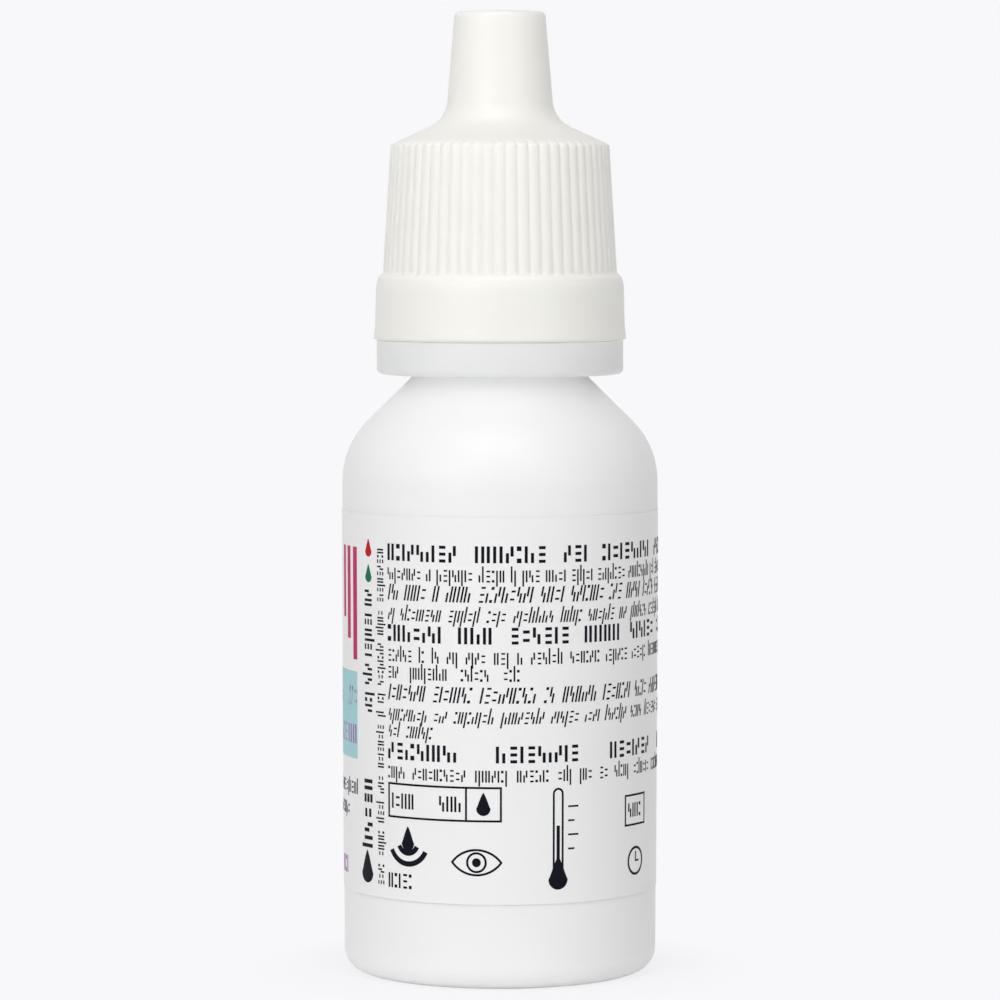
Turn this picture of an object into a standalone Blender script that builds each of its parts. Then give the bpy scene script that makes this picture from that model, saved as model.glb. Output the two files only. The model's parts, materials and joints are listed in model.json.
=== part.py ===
"""Eye drop bottle: squeeze bottle, wrap label, tamper ring, snap-fit dropper and ribbed screw cap.

Metres, +Z up. The bottle stands on z = 0 with its axis on the Z axis, and the front of its
label faces -Y. Sizes are chained outwards from the neck and up from the foot, so each piece
takes its seat from the piece that carries it and a named clearance.
"""

import math

import bmesh
import bpy
from mathutils import Matrix, Vector

MM = 0.001

# Facets
BODY_SIDES = 48
CAP_SIDES = 60
INNER_SIDES = 32
HOLE_SIDES = 12
DISH_STEPS = 3
ARC_SAG = 0.06 * MM          # how far a fillet's chords may cut inside its true arc
WELD = 0.0001 * MM

# Clearances
SEAT_GAP = 0.3 * MM          # between large pieces that rest on one another
RUN_GAP = 0.25 * MM          # round a piece that turns on its neck
SNUG_GAP = 0.1 * MM          # between small pieces that are pressed together
SEAL_GAP = 0.15 * MM         # round a plug or a bead in its groove
OVERRUN = 0.5 * MM           # how far a cutter passes the face that it cuts

# Squeeze bottle, blow-moulded in white polyethylene
BODY_R = 12.55 * MM
BODY_DRAFT = 0.13 * MM       # radius lost from the shoulder down to the foot
BODY_WALL = 0.9 * MM
FLOOR = 1.0 * MM
HEEL_FILLET = 2.0 * MM
FOOT_BORE_R = 9.0 * MM       # inner edge of the ring that the bottle stands on
PUSH_UP = 0.8 * MM           # rise of the dished floor inside that ring
SHOULDER_H = 41.8 * MM       # where the body's line meets the shoulder cone's line
SHOULDER_ANGLE = math.radians(45)
SHOULDER_FILLET = 6.8 * MM
NECK_R = 5.9 * MM
NECK_WALL = 1.0 * MM
NECK_H = 14.9 * MM           # above the shoulder's flat land
NECK_FILLET = 0.3 * MM
LAND_W = 1.35 * MM
LAND_FILLET = 0.4 * MM

# Bead that traps the tamper ring, and the bead that the dropper snaps over
BEAD_PROUD = 0.6 * MM
BEAD_T = 0.3 * MM
BEAD_RAMP = 0.5 * MM
SNAP_PROUD = 0.35 * MM
SNAP_T = 0.4 * MM
SNAP_RAMP = 0.5 * MM
SNAP_DROP = 5.2 * MM         # from the neck's rim down to the snap bead's flat

# Wrap label, printed film glued round the body
LABEL_FOOT = 6.8 * MM
LABEL_H = 29.8 * MM
LABEL_T = 0.1 * MM
LABEL_GLUE = 0.05 * MM
LABEL_LAP_SIDES = 2          # facets by which the film's end overlaps its start

# Tamper ring, natural polyethylene, left on the neck when the cap is first opened
RING_H = 2.6 * MM
RING_INSET = 0.19 * MM       # how far the ring stands inside the cap's lip
RING_WALL = 1.0 * MM
RING_WEB = 0.9 * MM
RING_HUB_WALL = 0.8 * MM
RING_HEEL_FILLET = 0.5 * MM
RING_EDGE_FILLET = 0.15 * MM
RING_LIP_H = 0.7 * MM        # the lip that stands up inside the cap's skirt
RING_LIP_WALL = 0.8 * MM

# Dropper base, natural polyethylene, snapped over the neck
SLEEVE_WALL = 1.1 * MM
DECK_T = 1.2 * MM
DECK_FILLET = 0.4 * MM
PLUG_H = 4.5 * MM            # the seal that enters the bottle's neck
PLUG_WALL = 0.55 * MM
PLUG_FILLET = 0.2 * MM
SOCKET_WALL = 0.9 * MM
SOCKET_H = 5.6 * MM
SOCKET_LIP = 0.25 * MM       # rim that holds the insert in its socket
INSERT_STOP_T = 0.6 * MM
FLOW_HOLE_R = 0.6 * MM
VENT_R = 0.3 * MM
TURRET_WALL = 0.6 * MM
TURRET_H = 2.1 * MM
TURRET_BEAD = 0.12 * MM

# Flow insert, vent membrane and silicone valve inside the dropper
INSERT_R = 1.5 * MM
INSERT_FILLET = 0.25 * MM
CHANNEL_R = 0.35 * MM
CHANNEL_COUNT = 3
MEMBRANE_T = 0.6 * MM
VALVE_R = 1.8 * MM
VALVE_T = 0.55 * MM
VALVE_STEM_R = 0.85 * MM
VALVE_FILLET = 0.3 * MM
VALVE_LIFT = 0.3 * MM

# Nozzle tip
NOZZLE_WALL = 0.65 * MM
NOZZLE_H = 11.2 * MM
NOZZLE_TIP_R = 2.25 * MM
NOZZLE_TIP_FILLET = 0.5 * MM
NOZZLE_ROOT_FILLET = 0.8 * MM
FLANGE_R = 4.9 * MM
FLANGE_T = 0.8 * MM
CHAMBER_RISE = 1.2 * MM      # the funnel above the valve
BORE_R = 0.35 * MM
MOUTH_R = 1.2 * MM
MOUTH_DEPTH = 1.1 * MM

# Screw cap, ivory polyethylene
THREAD_ROOM = 0.5 * MM       # between the dropper's sleeve and the cap's bore
CAP_WALL = 1.08 * MM
SKIRT_WALL = 1.0 * MM
LIP_FLARE = 0.24 * MM        # radius gained from the band's top down to its lip
LIP_FILLET = 0.12 * MM
BAND_H = 5.3 * MM
BAND_STEP = 0.4 * MM         # how far the plain band stands outside the ribs
BAND_LEDGE_RISE = 0.15 * MM
BAND_FILLET = 0.45 * MM
RIB_DRAFT = 0.72 * MM        # radius lost from the ribs' feet to their heads
RIB_HEAD_FILLET = 0.35 * MM
HEADROOM = 2.45 * MM         # from the dropper's deck to the ribs' heads
FLARE_ANGLE = math.radians(24.5)
FLARE_FILLET = 2.5 * MM
NOSE_ROOM = 0.2 * MM         # by which the nose's bore is wider than the nozzle's foot
NOSE_WALL = 0.84 * MM
NOSE_DRAFT = 0.65 * MM       # radius lost from the nose's root to the top
NOSE_FILLET = 0.45 * MM
ROOF_ROOM = 0.8 * MM
ROOF_T = 1.0 * MM
STUD_R = 0.8 * MM            # the stud that closes the nozzle's mouth
GROOVE_W = 0.34 * MM
GROOVE_DEPTH = 0.22 * MM
GROOVE_RUN_OUT = 0.9 * MM

# Radii, from the neck inwards and then outwards
NECK_BORE_R = NECK_R - NECK_WALL
PLUG_R = NECK_BORE_R - SEAL_GAP
PLUG_BORE_R = PLUG_R - PLUG_WALL
MEMBRANE_R = PLUG_BORE_R - SNUG_GAP
SOCKET_BORE_R = INSERT_R + SNUG_GAP
SOCKET_R = SOCKET_BORE_R + SOCKET_WALL
MEMBRANE_BORE_R = SOCKET_R + SNUG_GAP
LAND_R = NECK_R + LAND_W
RING_BORE_R = NECK_R + RUN_GAP
SLEEVE_BORE_R = NECK_R + SNUG_GAP
SLEEVE_R = SLEEVE_BORE_R + SLEEVE_WALL
TURRET_BORE_R = VALVE_R + SEAL_GAP
TURRET_R = TURRET_BORE_R + TURRET_WALL
NOZZLE_BORE_R = TURRET_R + SNUG_GAP
NOZZLE_R = NOZZLE_BORE_R + NOZZLE_WALL
CAP_BORE_R = SLEEVE_R + THREAD_ROOM
RIB_HEAD_R = CAP_BORE_R + CAP_WALL
RIB_FOOT_R = RIB_HEAD_R + RIB_DRAFT
BAND_R = RIB_FOOT_R + BAND_STEP
LIP_R = BAND_R + LIP_FLARE
SKIRT_BORE_R = BAND_R - SKIRT_WALL
RING_R = LIP_R - RING_INSET
RING_LIP_R = SKIRT_BORE_R - SEAL_GAP
NOSE_BORE_R = NOZZLE_R + NOSE_ROOM
NOSE_R = NOSE_BORE_R + NOSE_WALL

# Heights, from the foot up
LAND_Z = SHOULDER_H + (BODY_R - LAND_R) * math.tan(SHOULDER_ANGLE)
NECK_TOP = LAND_Z + NECK_H
RING_Z = LAND_Z + SEAT_GAP
RING_TOP = RING_Z + RING_H
BEAD_Z = RING_TOP + RUN_GAP
BEAD_TOP = BEAD_Z + BEAD_T + BEAD_RAMP
SNAP_Z = NECK_TOP - SNAP_DROP
SLEEVE_Z = BEAD_TOP + SEAT_GAP
DECK_Z = NECK_TOP + SNUG_GAP
DECK_TOP = DECK_Z + DECK_T
TURRET_TOP = DECK_TOP + TURRET_H
FLANGE_Z = DECK_TOP + SNUG_GAP
NOZZLE_TOP = FLANGE_Z + NOZZLE_H
CHAMBER_Z = TURRET_TOP + SNUG_GAP
SKIRT_Z = RING_TOP + SEAT_GAP
BAND_TOP = SKIRT_Z + BAND_H
RIB_HEAD_Z = DECK_TOP + HEADROOM
ROOF_Z = NOZZLE_TOP + ROOF_ROOM
CAP_TOP = ROOF_Z + ROOF_T


def rounded(corners):
    """Points (r, z) of an outline whose corners are (r, z, fillet radius)."""
    points = []
    for i, (r, z, fillet) in enumerate(corners):
        corner = Vector((r, z))
        if not fillet:
            points.append(corner)
            continue
        back = Vector(corners[i - 1][:2]) - corner
        ahead = Vector(corners[(i + 1) % len(corners)][:2]) - corner
        half = back.angle(ahead) / 2
        reach = min(fillet / math.tan(half), back.length / 2, ahead.length / 2)
        radius = reach * math.tan(half)
        middle = (back.normalized() + ahead.normalized()).normalized()
        centre = corner + middle * radius / math.sin(half)
        spoke = corner + back.normalized() * reach - centre
        turn = math.copysign(math.pi - 2 * half, ahead.cross(back))
        step = 2 * math.acos(max(0, 1 - ARC_SAG / radius))
        steps = math.ceil(abs(turn) / step)
        for k in range(steps + 1):
            points.append(centre + Matrix.Rotation(turn * k / steps, 2) @ spoke)
    return points


def finished(name, bm, material):
    """Turn a bmesh into a named, smooth-shaded object."""
    bmesh.ops.remove_doubles(bm, verts=bm.verts, dist=WELD)
    bmesh.ops.recalc_face_normals(bm, faces=bm.faces)
    mesh = bpy.data.meshes.new(name)
    bm.to_mesh(mesh)
    bm.free()
    mesh.shade_smooth()
    mesh.set_sharp_from_angle(angle=math.radians(30))
    obj = bpy.data.objects.new(name, mesh)
    bpy.context.scene.collection.objects.link(obj)
    if material:
        mesh.materials.append(material)
    return obj


def turned(name, corners, sides, material):
    """Spin a section about Z. Its corners run round a ring, or from the axis back to the axis."""
    bm = bmesh.new()
    line = [bm.verts.new((r, 0, z)) for r, z in rounded(corners)]
    pairs = list(zip(line, line[1:]))
    if corners[0][0] > 0:
        pairs.append((line[-1], line[0]))
    edges = [bm.edges.new(pair) for pair in pairs]
    bmesh.ops.spin(
        bm, geom=line + edges, cent=(0, 0, 0), axis=(0, 0, 1), angle=math.tau, steps=sides, use_merge=True
    )
    return finished(name, bm, material)


def loft(bm, sections):
    """Skin a row of like sections and close its two ends."""
    rings = [[bm.verts.new(point) for point in section] for section in sections]
    for low, high in zip(rings, rings[1:]):
        for i in range(len(low)):
            bm.faces.new((low[i - 1], low[i], high[i], high[i - 1]))
    bm.faces.new(reversed(rings[0]))
    bm.faces.new(rings[-1])


def cut(target, cutter):
    """Subtract a guide object from its target with an exact Boolean."""
    cutter.hide_render = True
    cutter.display_type = "WIRE"
    boolean = target.modifiers.new(cutter.name, "BOOLEAN")
    boolean.operation = "DIFFERENCE"
    boolean.solver = "EXACT"
    boolean.object = cutter


def rods(name, radius, low, high, places):
    """Upright round cutters from one height to another, at places (x, y)."""
    bm = bmesh.new()
    for x, y in places:
        move = Matrix.Translation((x, y, (low + high) / 2))
        bmesh.ops.create_cone(
            bm, cap_ends=True, segments=HOLE_SIDES, radius1=radius, radius2=radius, depth=high - low, matrix=move
        )
    return finished(name, bm, None)


def plastic(name, colour, roughness):
    """A moulded plastic as a Principled material."""
    material = bpy.data.materials.new(name)
    material.use_nodes = True
    shader = material.node_tree.nodes["Principled BSDF"]
    shader.inputs["Base Color"].default_value = (*colour, 1)
    shader.inputs["Roughness"].default_value = roughness
    shader.inputs["Metallic"].default_value = 0
    return material


def body_radius(z):
    """Outer radius of the straight body, which narrows a little towards the foot."""
    return BODY_R - BODY_DRAFT * (1 - z / SHOULDER_H)


def dish(height, inward):
    """Points of the dished floor from the axis to the foot ring, or back again."""
    radius = (FOOT_BORE_R**2 + PUSH_UP**2) / (2 * PUSH_UP)
    arc = []
    for k in range(DISH_STEPS):
        r = FOOT_BORE_R * k / DISH_STEPS
        arc.append((r, height + PUSH_UP - radius + math.sqrt(radius**2 - r**2), 0))
    return arc[::-1] if inward else arc


def make_bottle(material):
    """Blow-moulded bottle: foot ring, straight body, round shoulder, cone and beaded neck."""
    bend = math.tan((math.pi / 2 - SHOULDER_ANGLE) / 2)
    inner_r = BODY_R - BODY_WALL
    inner_shoulder = SHOULDER_H - BODY_WALL * bend
    ceiling = LAND_Z - BODY_WALL
    ceiling_r = inner_r - (ceiling - inner_shoulder) / math.tan(SHOULDER_ANGLE)
    outside = [
        (FOOT_BORE_R, 0, 0),
        (body_radius(0), 0, HEEL_FILLET),
        (BODY_R, SHOULDER_H, SHOULDER_FILLET),
        (LAND_R, LAND_Z, LAND_FILLET),
        (NECK_R, LAND_Z, 0),
        (NECK_R, BEAD_Z, 0),
        (NECK_R + BEAD_PROUD, BEAD_Z, 0),
        (NECK_R + BEAD_PROUD, BEAD_Z + BEAD_T, 0),
        (NECK_R, BEAD_TOP, 0),
        (NECK_R, SNAP_Z, 0),
        (NECK_R + SNAP_PROUD, SNAP_Z, 0),
        (NECK_R + SNAP_PROUD, SNAP_Z + SNAP_T, 0),
        (NECK_R, SNAP_Z + SNAP_T + SNAP_RAMP, 0),
        (NECK_R, NECK_TOP, NECK_FILLET),
    ]
    inside = [
        (NECK_BORE_R, NECK_TOP, NECK_FILLET),
        (NECK_BORE_R, ceiling, 0),
        (ceiling_r, ceiling, LAND_FILLET),
        (inner_r, inner_shoulder, SHOULDER_FILLET - BODY_WALL),
        (body_radius(0) - BODY_WALL, FLOOR, HEEL_FILLET - BODY_WALL),
        (FOOT_BORE_R, FLOOR, 0),
    ]
    outline = dish(0, False) + outside + inside + dish(FLOOR, True)
    return turned("bottle", outline, BODY_SIDES, material)


def make_label(material):
    """Film wrapped once round the body from the back, its end lapped over its start."""
    sections = []
    for i in range(BODY_SIDES + LABEL_LAP_SIDES + 1):
        angle = math.pi / 2 + math.tau * i / BODY_SIDES
        climb = LABEL_GLUE if i < BODY_SIDES else LABEL_GLUE + LABEL_T + LABEL_GLUE
        section = []
        for z, lift in ((0, 0), (0, LABEL_T), (LABEL_H, LABEL_T), (LABEL_H, 0)):
            r = body_radius(LABEL_FOOT + z) + climb + lift
            section.append((r * math.cos(angle), r * math.sin(angle), LABEL_FOOT + z))
        sections.append(section)
    bm = bmesh.new()
    loft(bm, sections)
    return finished("label", bm, material)


def make_tamper_ring(material):
    """Loose ring under the bead: outer wall, top web, hub, and a lip inside the cap's skirt."""
    hub_r = RING_BORE_R + RING_HUB_WALL
    wall_r = RING_R - RING_WALL
    under_web = RING_TOP - RING_WEB
    lip_top = RING_TOP + RING_LIP_H
    outline = [
        (RING_BORE_R, RING_Z, 0),
        (hub_r, RING_Z, 0),
        (hub_r, under_web, 0),
        (wall_r, under_web, 0),
        (wall_r, RING_Z, 0),
        (RING_R, RING_Z, RING_HEEL_FILLET),
        (RING_R, RING_TOP, RING_EDGE_FILLET),
        (RING_LIP_R, RING_TOP, 0),
        (RING_LIP_R, lip_top, RING_EDGE_FILLET),
        (RING_LIP_R - RING_LIP_WALL, lip_top, 0),
        (RING_LIP_R - RING_LIP_WALL, RING_TOP, 0),
        (RING_BORE_R, RING_TOP, 0),
    ]
    return turned("tamper_ring", outline, BODY_SIDES, material)


def make_dropper_base(material):
    """Snap-fit base: sleeve with its groove, deck, plug seal, insert socket and valve turret."""
    groove_r = NECK_R + SNAP_PROUD + SEAL_GAP
    groove_low = SNAP_Z - SEAL_GAP
    groove_high = SNAP_Z + SNAP_T + SEAL_GAP
    plug_foot = DECK_Z - PLUG_H
    socket_foot = DECK_Z - SOCKET_H
    stop = DECK_TOP - INSERT_STOP_T
    bead_low = TURRET_TOP - 2 * TURRET_BEAD
    outline = [
        (SLEEVE_BORE_R, SLEEVE_Z, 0),
        (SLEEVE_R, SLEEVE_Z, 0),
        (SLEEVE_R, DECK_TOP, DECK_FILLET),
        (TURRET_R, DECK_TOP, 0),
        (TURRET_R, bead_low - TURRET_BEAD, 0),
        (TURRET_R + TURRET_BEAD, bead_low, 0),
        (TURRET_R, TURRET_TOP, 0),
        (TURRET_BORE_R, TURRET_TOP, 0),
        (TURRET_BORE_R, DECK_TOP, 0),
        (FLOW_HOLE_R, DECK_TOP, 0),
        (FLOW_HOLE_R, stop, 0),
        (SOCKET_BORE_R, stop, 0),
        (SOCKET_BORE_R, socket_foot + SOCKET_LIP, 0),
        (SOCKET_BORE_R + SOCKET_LIP, socket_foot, 0),
        (SOCKET_R, socket_foot, 0),
        (SOCKET_R, DECK_Z, 0),
        (PLUG_BORE_R, DECK_Z, 0),
        (PLUG_BORE_R, plug_foot, 0),
        (PLUG_R, plug_foot, PLUG_FILLET),
        (PLUG_R, DECK_Z, 0),
        (SLEEVE_BORE_R, DECK_Z, 0),
        (SLEEVE_BORE_R, groove_high + SNAP_RAMP, 0),
        (groove_r, groove_high, 0),
        (groove_r, groove_low, 0),
        (SLEEVE_BORE_R, groove_low, 0),
    ]
    base = turned("dropper_base", outline, INNER_SIDES, material)
    vent_place = ((MEMBRANE_BORE_R + MEMBRANE_R) / 2, 0)
    cut(base, rods("vent_cutter", VENT_R, DECK_Z - OVERRUN, DECK_TOP + OVERRUN, [vent_place]))
    return base


def make_flow_insert(material):
    """Plug in the socket, with channels down its side that slow the drops."""
    top = DECK_TOP - INSERT_STOP_T - SNUG_GAP
    foot = DECK_Z - SOCKET_H + SOCKET_LIP
    outline = [
        (0, foot, 0),
        (INSERT_R, foot, INSERT_FILLET),
        (INSERT_R, top, INSERT_FILLET),
        (0, top, 0),
    ]
    insert = turned("flow_insert", outline, INNER_SIDES, material)
    places = []
    for k in range(CHANNEL_COUNT):
        angle = math.tau * k / CHANNEL_COUNT + math.pi / INNER_SIDES
        places.append((INSERT_R * math.cos(angle), INSERT_R * math.sin(angle)))
    cut(insert, rods("channel_cutter", CHANNEL_R, foot - OVERRUN, top + OVERRUN, places))
    return insert


def make_vent_membrane(material):
    """Flat filter ring under the deck, between the socket and the plug seal."""
    top = DECK_Z - SNUG_GAP
    foot = top - MEMBRANE_T
    outline = [
        (MEMBRANE_BORE_R, foot, 0),
        (MEMBRANE_R, foot, 0),
        (MEMBRANE_R, top, 0),
        (MEMBRANE_BORE_R, top, 0),
    ]
    return turned("vent_membrane", outline, INNER_SIDES, material)


def make_valve(material):
    """Silicone disc that seals the flow hole, with a stem that stops under the nozzle."""
    seat = DECK_TOP + SNUG_GAP
    disc_top = seat + VALVE_T
    stem_top = CHAMBER_Z - VALVE_LIFT
    outline = [
        (0, seat, 0),
        (VALVE_R, seat, 0),
        (VALVE_R, disc_top, VALVE_FILLET),
        (VALVE_STEM_R, disc_top, VALVE_FILLET),
        (VALVE_STEM_R, stem_top, VALVE_FILLET),
        (0, stem_top, 0),
    ]
    return turned("valve", outline, INNER_SIDES, material)


def make_nozzle_tip(material):
    """Tapered tip over the turret, with a flange on the deck and a dished mouth."""
    bead_low = TURRET_TOP - 2 * TURRET_BEAD
    groove_r = NOZZLE_BORE_R + TURRET_BEAD
    wide_top = CHAMBER_Z + NOZZLE_WALL
    outline = [
        (NOZZLE_BORE_R, FLANGE_Z, 0),
        (FLANGE_R, FLANGE_Z, 0),
        (FLANGE_R, FLANGE_Z + FLANGE_T, 0),
        (NOZZLE_R, FLANGE_Z + FLANGE_T, NOZZLE_ROOT_FILLET),
        (NOZZLE_R, wide_top, NOZZLE_ROOT_FILLET),
        (NOZZLE_TIP_R, NOZZLE_TOP, NOZZLE_TIP_FILLET),
        (MOUTH_R, NOZZLE_TOP, 0),
        (BORE_R, NOZZLE_TOP - MOUTH_DEPTH, 0),
        (BORE_R, CHAMBER_Z + CHAMBER_RISE, 0),
        (TURRET_BORE_R, CHAMBER_Z, 0),
        (NOZZLE_BORE_R, CHAMBER_Z, 0),
        (groove_r, bead_low, 0),
        (NOZZLE_BORE_R, bead_low - TURRET_BEAD, 0),
    ]
    return turned("nozzle_tip", outline, INNER_SIDES, material)


def make_cap(material):
    """Screw cap: flared band, tapered ribs, concave flare, hollow nose and sealing stud."""
    slope = math.tan(FLARE_ANGLE)
    nose_root = RIB_HEAD_Z + (RIB_HEAD_R - NOSE_R) * slope
    lean = NOSE_DRAFT / (CAP_TOP - nose_root)
    bore_top = RIB_HEAD_Z + (RIB_HEAD_R - CAP_BORE_R) * slope - CAP_WALL
    flare_root = bore_top + (CAP_BORE_R - NOSE_BORE_R) * slope
    stud_tip = NOZZLE_TOP - MOUTH_DEPTH * (MOUTH_R - STUD_R) / (MOUTH_R - BORE_R) + SEAL_GAP
    outline = [
        (0, stud_tip, 0),
        (STUD_R, stud_tip, 0),
        (STUD_R, ROOF_Z, 0),
        (NOSE_BORE_R - lean * (ROOF_Z - flare_root), ROOF_Z, NOSE_FILLET),
        (NOSE_BORE_R, flare_root, FLARE_FILLET / 2),
        (CAP_BORE_R, bore_top, 0),
        (CAP_BORE_R, BAND_TOP - CAP_WALL, 0),
        (SKIRT_BORE_R, BAND_TOP - CAP_WALL - (SKIRT_BORE_R - CAP_BORE_R), 0),
        (SKIRT_BORE_R, SKIRT_Z, 0),
        (LIP_R, SKIRT_Z, LIP_FILLET),
        (BAND_R, BAND_TOP, BAND_FILLET),
        (RIB_FOOT_R, BAND_TOP + BAND_LEDGE_RISE, 0),
        (RIB_HEAD_R, RIB_HEAD_Z, RIB_HEAD_FILLET),
        (NOSE_R, nose_root, FLARE_FILLET),
        (NOSE_R - NOSE_DRAFT, CAP_TOP, NOSE_FILLET),
        (0, CAP_TOP, 0),
    ]
    cap = turned("cap", outline, CAP_SIDES, material)
    cut(cap, groove_cutters())
    return cap


def groove_cutters():
    """A V cutter for each gap between ribs, whose depth runs out to nothing at the band."""
    foot_z = BAND_TOP + BAND_LEDGE_RISE + ARC_SAG
    lean = RIB_DRAFT / (RIB_HEAD_Z - BAND_TOP - BAND_LEDGE_RISE)
    stations = ((foot_z, 0), (foot_z + GROOVE_RUN_OUT, GROOVE_DEPTH), (RIB_HEAD_Z + OVERRUN, GROOVE_DEPTH))
    bm = bmesh.new()
    for k in range(CAP_SIDES):
        turn = Matrix.Rotation(math.tau * (k + 0.5) / CAP_SIDES, 3, "Z")
        sections = []
        for z, depth in stations:
            crest = RIB_FOOT_R - lean * (z - foot_z)
            half = GROOVE_W / 2 * (depth + OVERRUN) / GROOVE_DEPTH
            points = ((crest - depth, 0, z), (crest + OVERRUN, half, z), (crest + OVERRUN, -half, z))
            sections.append([turn @ Vector(point) for point in points])
        loft(bm, sections)
    return finished("groove_cutters", bm, None)


def main():
    for obj in list(bpy.data.objects):
        bpy.data.objects.remove(obj)
    white = plastic("white_polyethylene", (0.87, 0.87, 0.86), 0.42)
    film = plastic("label_film", (0.89, 0.89, 0.88), 0.35)
    natural = plastic("natural_polyethylene", (0.74, 0.76, 0.76), 0.38)
    ivory = plastic("ivory_polyethylene", (0.90, 0.88, 0.82), 0.36)
    silicone = plastic("clear_silicone", (0.72, 0.74, 0.76), 0.3)
    filter_felt = plastic("filter_felt", (0.82, 0.82, 0.80), 0.9)
    make_bottle(white)
    make_label(film)
    make_tamper_ring(natural)
    make_dropper_base(natural)
    make_flow_insert(white)
    make_vent_membrane(filter_felt)
    make_valve(silicone)
    make_nozzle_tip(white)
    make_cap(ivory)


main()
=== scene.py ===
# %% [markdown]
# # A squeeze bottle for eye drops
# The real object is a small blow-moulded bottle with a wrap label, a loose ring on its neck and a
# ribbed screw cap over a snap-fit dropper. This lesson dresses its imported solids: each piece gets
# the fine shapes and the finish that the solids leave out, and moves with the same body.

import json
import math
import random

import bpy
import numpy as np
from mathutils import Matrix, Vector

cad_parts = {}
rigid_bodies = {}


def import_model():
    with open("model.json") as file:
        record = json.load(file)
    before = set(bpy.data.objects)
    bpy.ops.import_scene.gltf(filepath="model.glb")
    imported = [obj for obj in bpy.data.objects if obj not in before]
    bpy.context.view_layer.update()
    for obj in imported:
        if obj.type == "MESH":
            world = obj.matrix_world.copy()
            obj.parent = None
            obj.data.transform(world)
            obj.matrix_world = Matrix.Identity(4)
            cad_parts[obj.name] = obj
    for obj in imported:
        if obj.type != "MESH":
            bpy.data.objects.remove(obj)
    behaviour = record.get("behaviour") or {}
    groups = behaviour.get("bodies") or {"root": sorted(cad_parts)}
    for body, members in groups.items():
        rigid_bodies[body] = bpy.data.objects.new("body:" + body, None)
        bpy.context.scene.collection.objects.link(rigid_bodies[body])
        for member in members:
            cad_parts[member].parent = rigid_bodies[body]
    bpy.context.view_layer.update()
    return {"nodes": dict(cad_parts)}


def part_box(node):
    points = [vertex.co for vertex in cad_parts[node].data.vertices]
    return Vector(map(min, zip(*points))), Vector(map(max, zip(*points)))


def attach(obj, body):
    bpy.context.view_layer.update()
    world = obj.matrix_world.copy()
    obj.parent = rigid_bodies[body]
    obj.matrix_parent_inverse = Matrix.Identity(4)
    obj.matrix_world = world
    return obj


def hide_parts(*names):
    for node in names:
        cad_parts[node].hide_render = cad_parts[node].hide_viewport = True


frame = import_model()

# %% [markdown]
# ## Read the sizes from the solids
# Every detail sits on a solid, so the solids' own boxes give the main radii and heights. Reading
# them here, instead of typing them again, keeps the looks on the part when its source changes.

# %% Measure the solids
MM = 0.001


def reach(node):
    """Foot height, top height and radius of a node that is round about Z."""
    low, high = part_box(node)
    return low.z, high.z, high.x


neck_top, body_r = reach("bottle")[1:]
ring_foot, ring_lip_top, ring_r = reach("tamper_ring")
cap_foot, cap_top, lip_r = reach("cap")
dropper_foot, turret_top, sleeve_r = reach("dropper_base")
flange_foot, nozzle_top, flange_r = reach("nozzle_tip")
label_foot, label_top = reach("label")[:2]
print(f"neck up to {neck_top / MM:.1f} mm, ring from {ring_foot / MM:.1f} mm")
print(f"cap from {cap_foot / MM:.1f} to {cap_top / MM:.1f} mm")

# %% [markdown]
# ## One tool for round mouldings
# Nearly every piece here is round, so one helper rounds the corners of a half section and a second
# carries it round the axis. Blender's Screw modifier could spin the section, but ribs, threads and
# parting lines need each point moved on its own, so the mesh is built ring by ring instead.

# %% Round the corners of a section


def rounded(corners, sag=0.004 * MM):
    """Points (r, z) of a section whose corners are (r, z, fillet radius)."""
    points = []
    for i, (r, z, fillet) in enumerate(corners):
        corner = Vector((r, z))
        if not fillet:
            points.append(corner)
            continue
        back = Vector(corners[i - 1][:2]) - corner
        ahead = Vector(corners[(i + 1) % len(corners)][:2]) - corner
        half = back.angle(ahead) / 2
        reach_along = min(fillet / math.tan(half), back.length / 2, ahead.length / 2)
        radius = reach_along * math.tan(half)
        middle = (back.normalized() + ahead.normalized()).normalized()
        centre = corner + middle * radius / math.sin(half)
        spoke = corner + back.normalized() * reach_along - centre
        turn = math.copysign(math.pi - 2 * half, ahead.cross(back))
        steps = math.ceil(abs(turn) / (2 * math.acos(1 - min(sag / radius, 0.5))))
        for k in range(steps + 1):
            points.append(centre + Matrix.Rotation(turn * k / steps, 2) @ spoke)
    return points


test_corner = rounded([(0, 0, 0), (5 * MM, 0, MM), (5 * MM, 5 * MM, 0)])
print("a 90 degree corner of 1 mm takes", len(test_corner) - 2, "points")

# %% [markdown]
# Points and faces become an object in a few lines. Smooth shading hides the facets of a fine mesh,
# and an edge that turns by more than the crease angle stays sharp, as a moulded corner does.

# %% Make an object from points and faces


def made(name, verts, faces, crease):
    """Mesh object with smooth shading up to a crease angle in degrees."""
    mesh = bpy.data.meshes.new(name)
    mesh.from_pydata(verts, [], faces)
    mesh.validate()
    mesh.shade_smooth()
    mesh.set_sharp_from_angle(angle=math.radians(crease))
    piece = bpy.data.objects.new(name, mesh)
    bpy.context.scene.collection.objects.link(piece)
    return piece


def evenly(count):
    """Angles evenly spaced round the axis."""
    return [math.tau * k / count for k in range(count)]


print(f"a round of 144 steps turns {math.degrees(evenly(144)[1]):.1f} degrees at a time")

# %% [markdown]
# A section that starts away from the axis closes into a ring. One that starts on the axis ends on
# it, with a fan of triangles at each pole. The push is a distance along the section's own normal,
# so the same function can cut a groove into a slope, a wall or a rounded edge.

# %% Carry a section round the axis
SAME_POINT, ON_AXIS = 0.0005 * MM, 0.001 * MM


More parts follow.
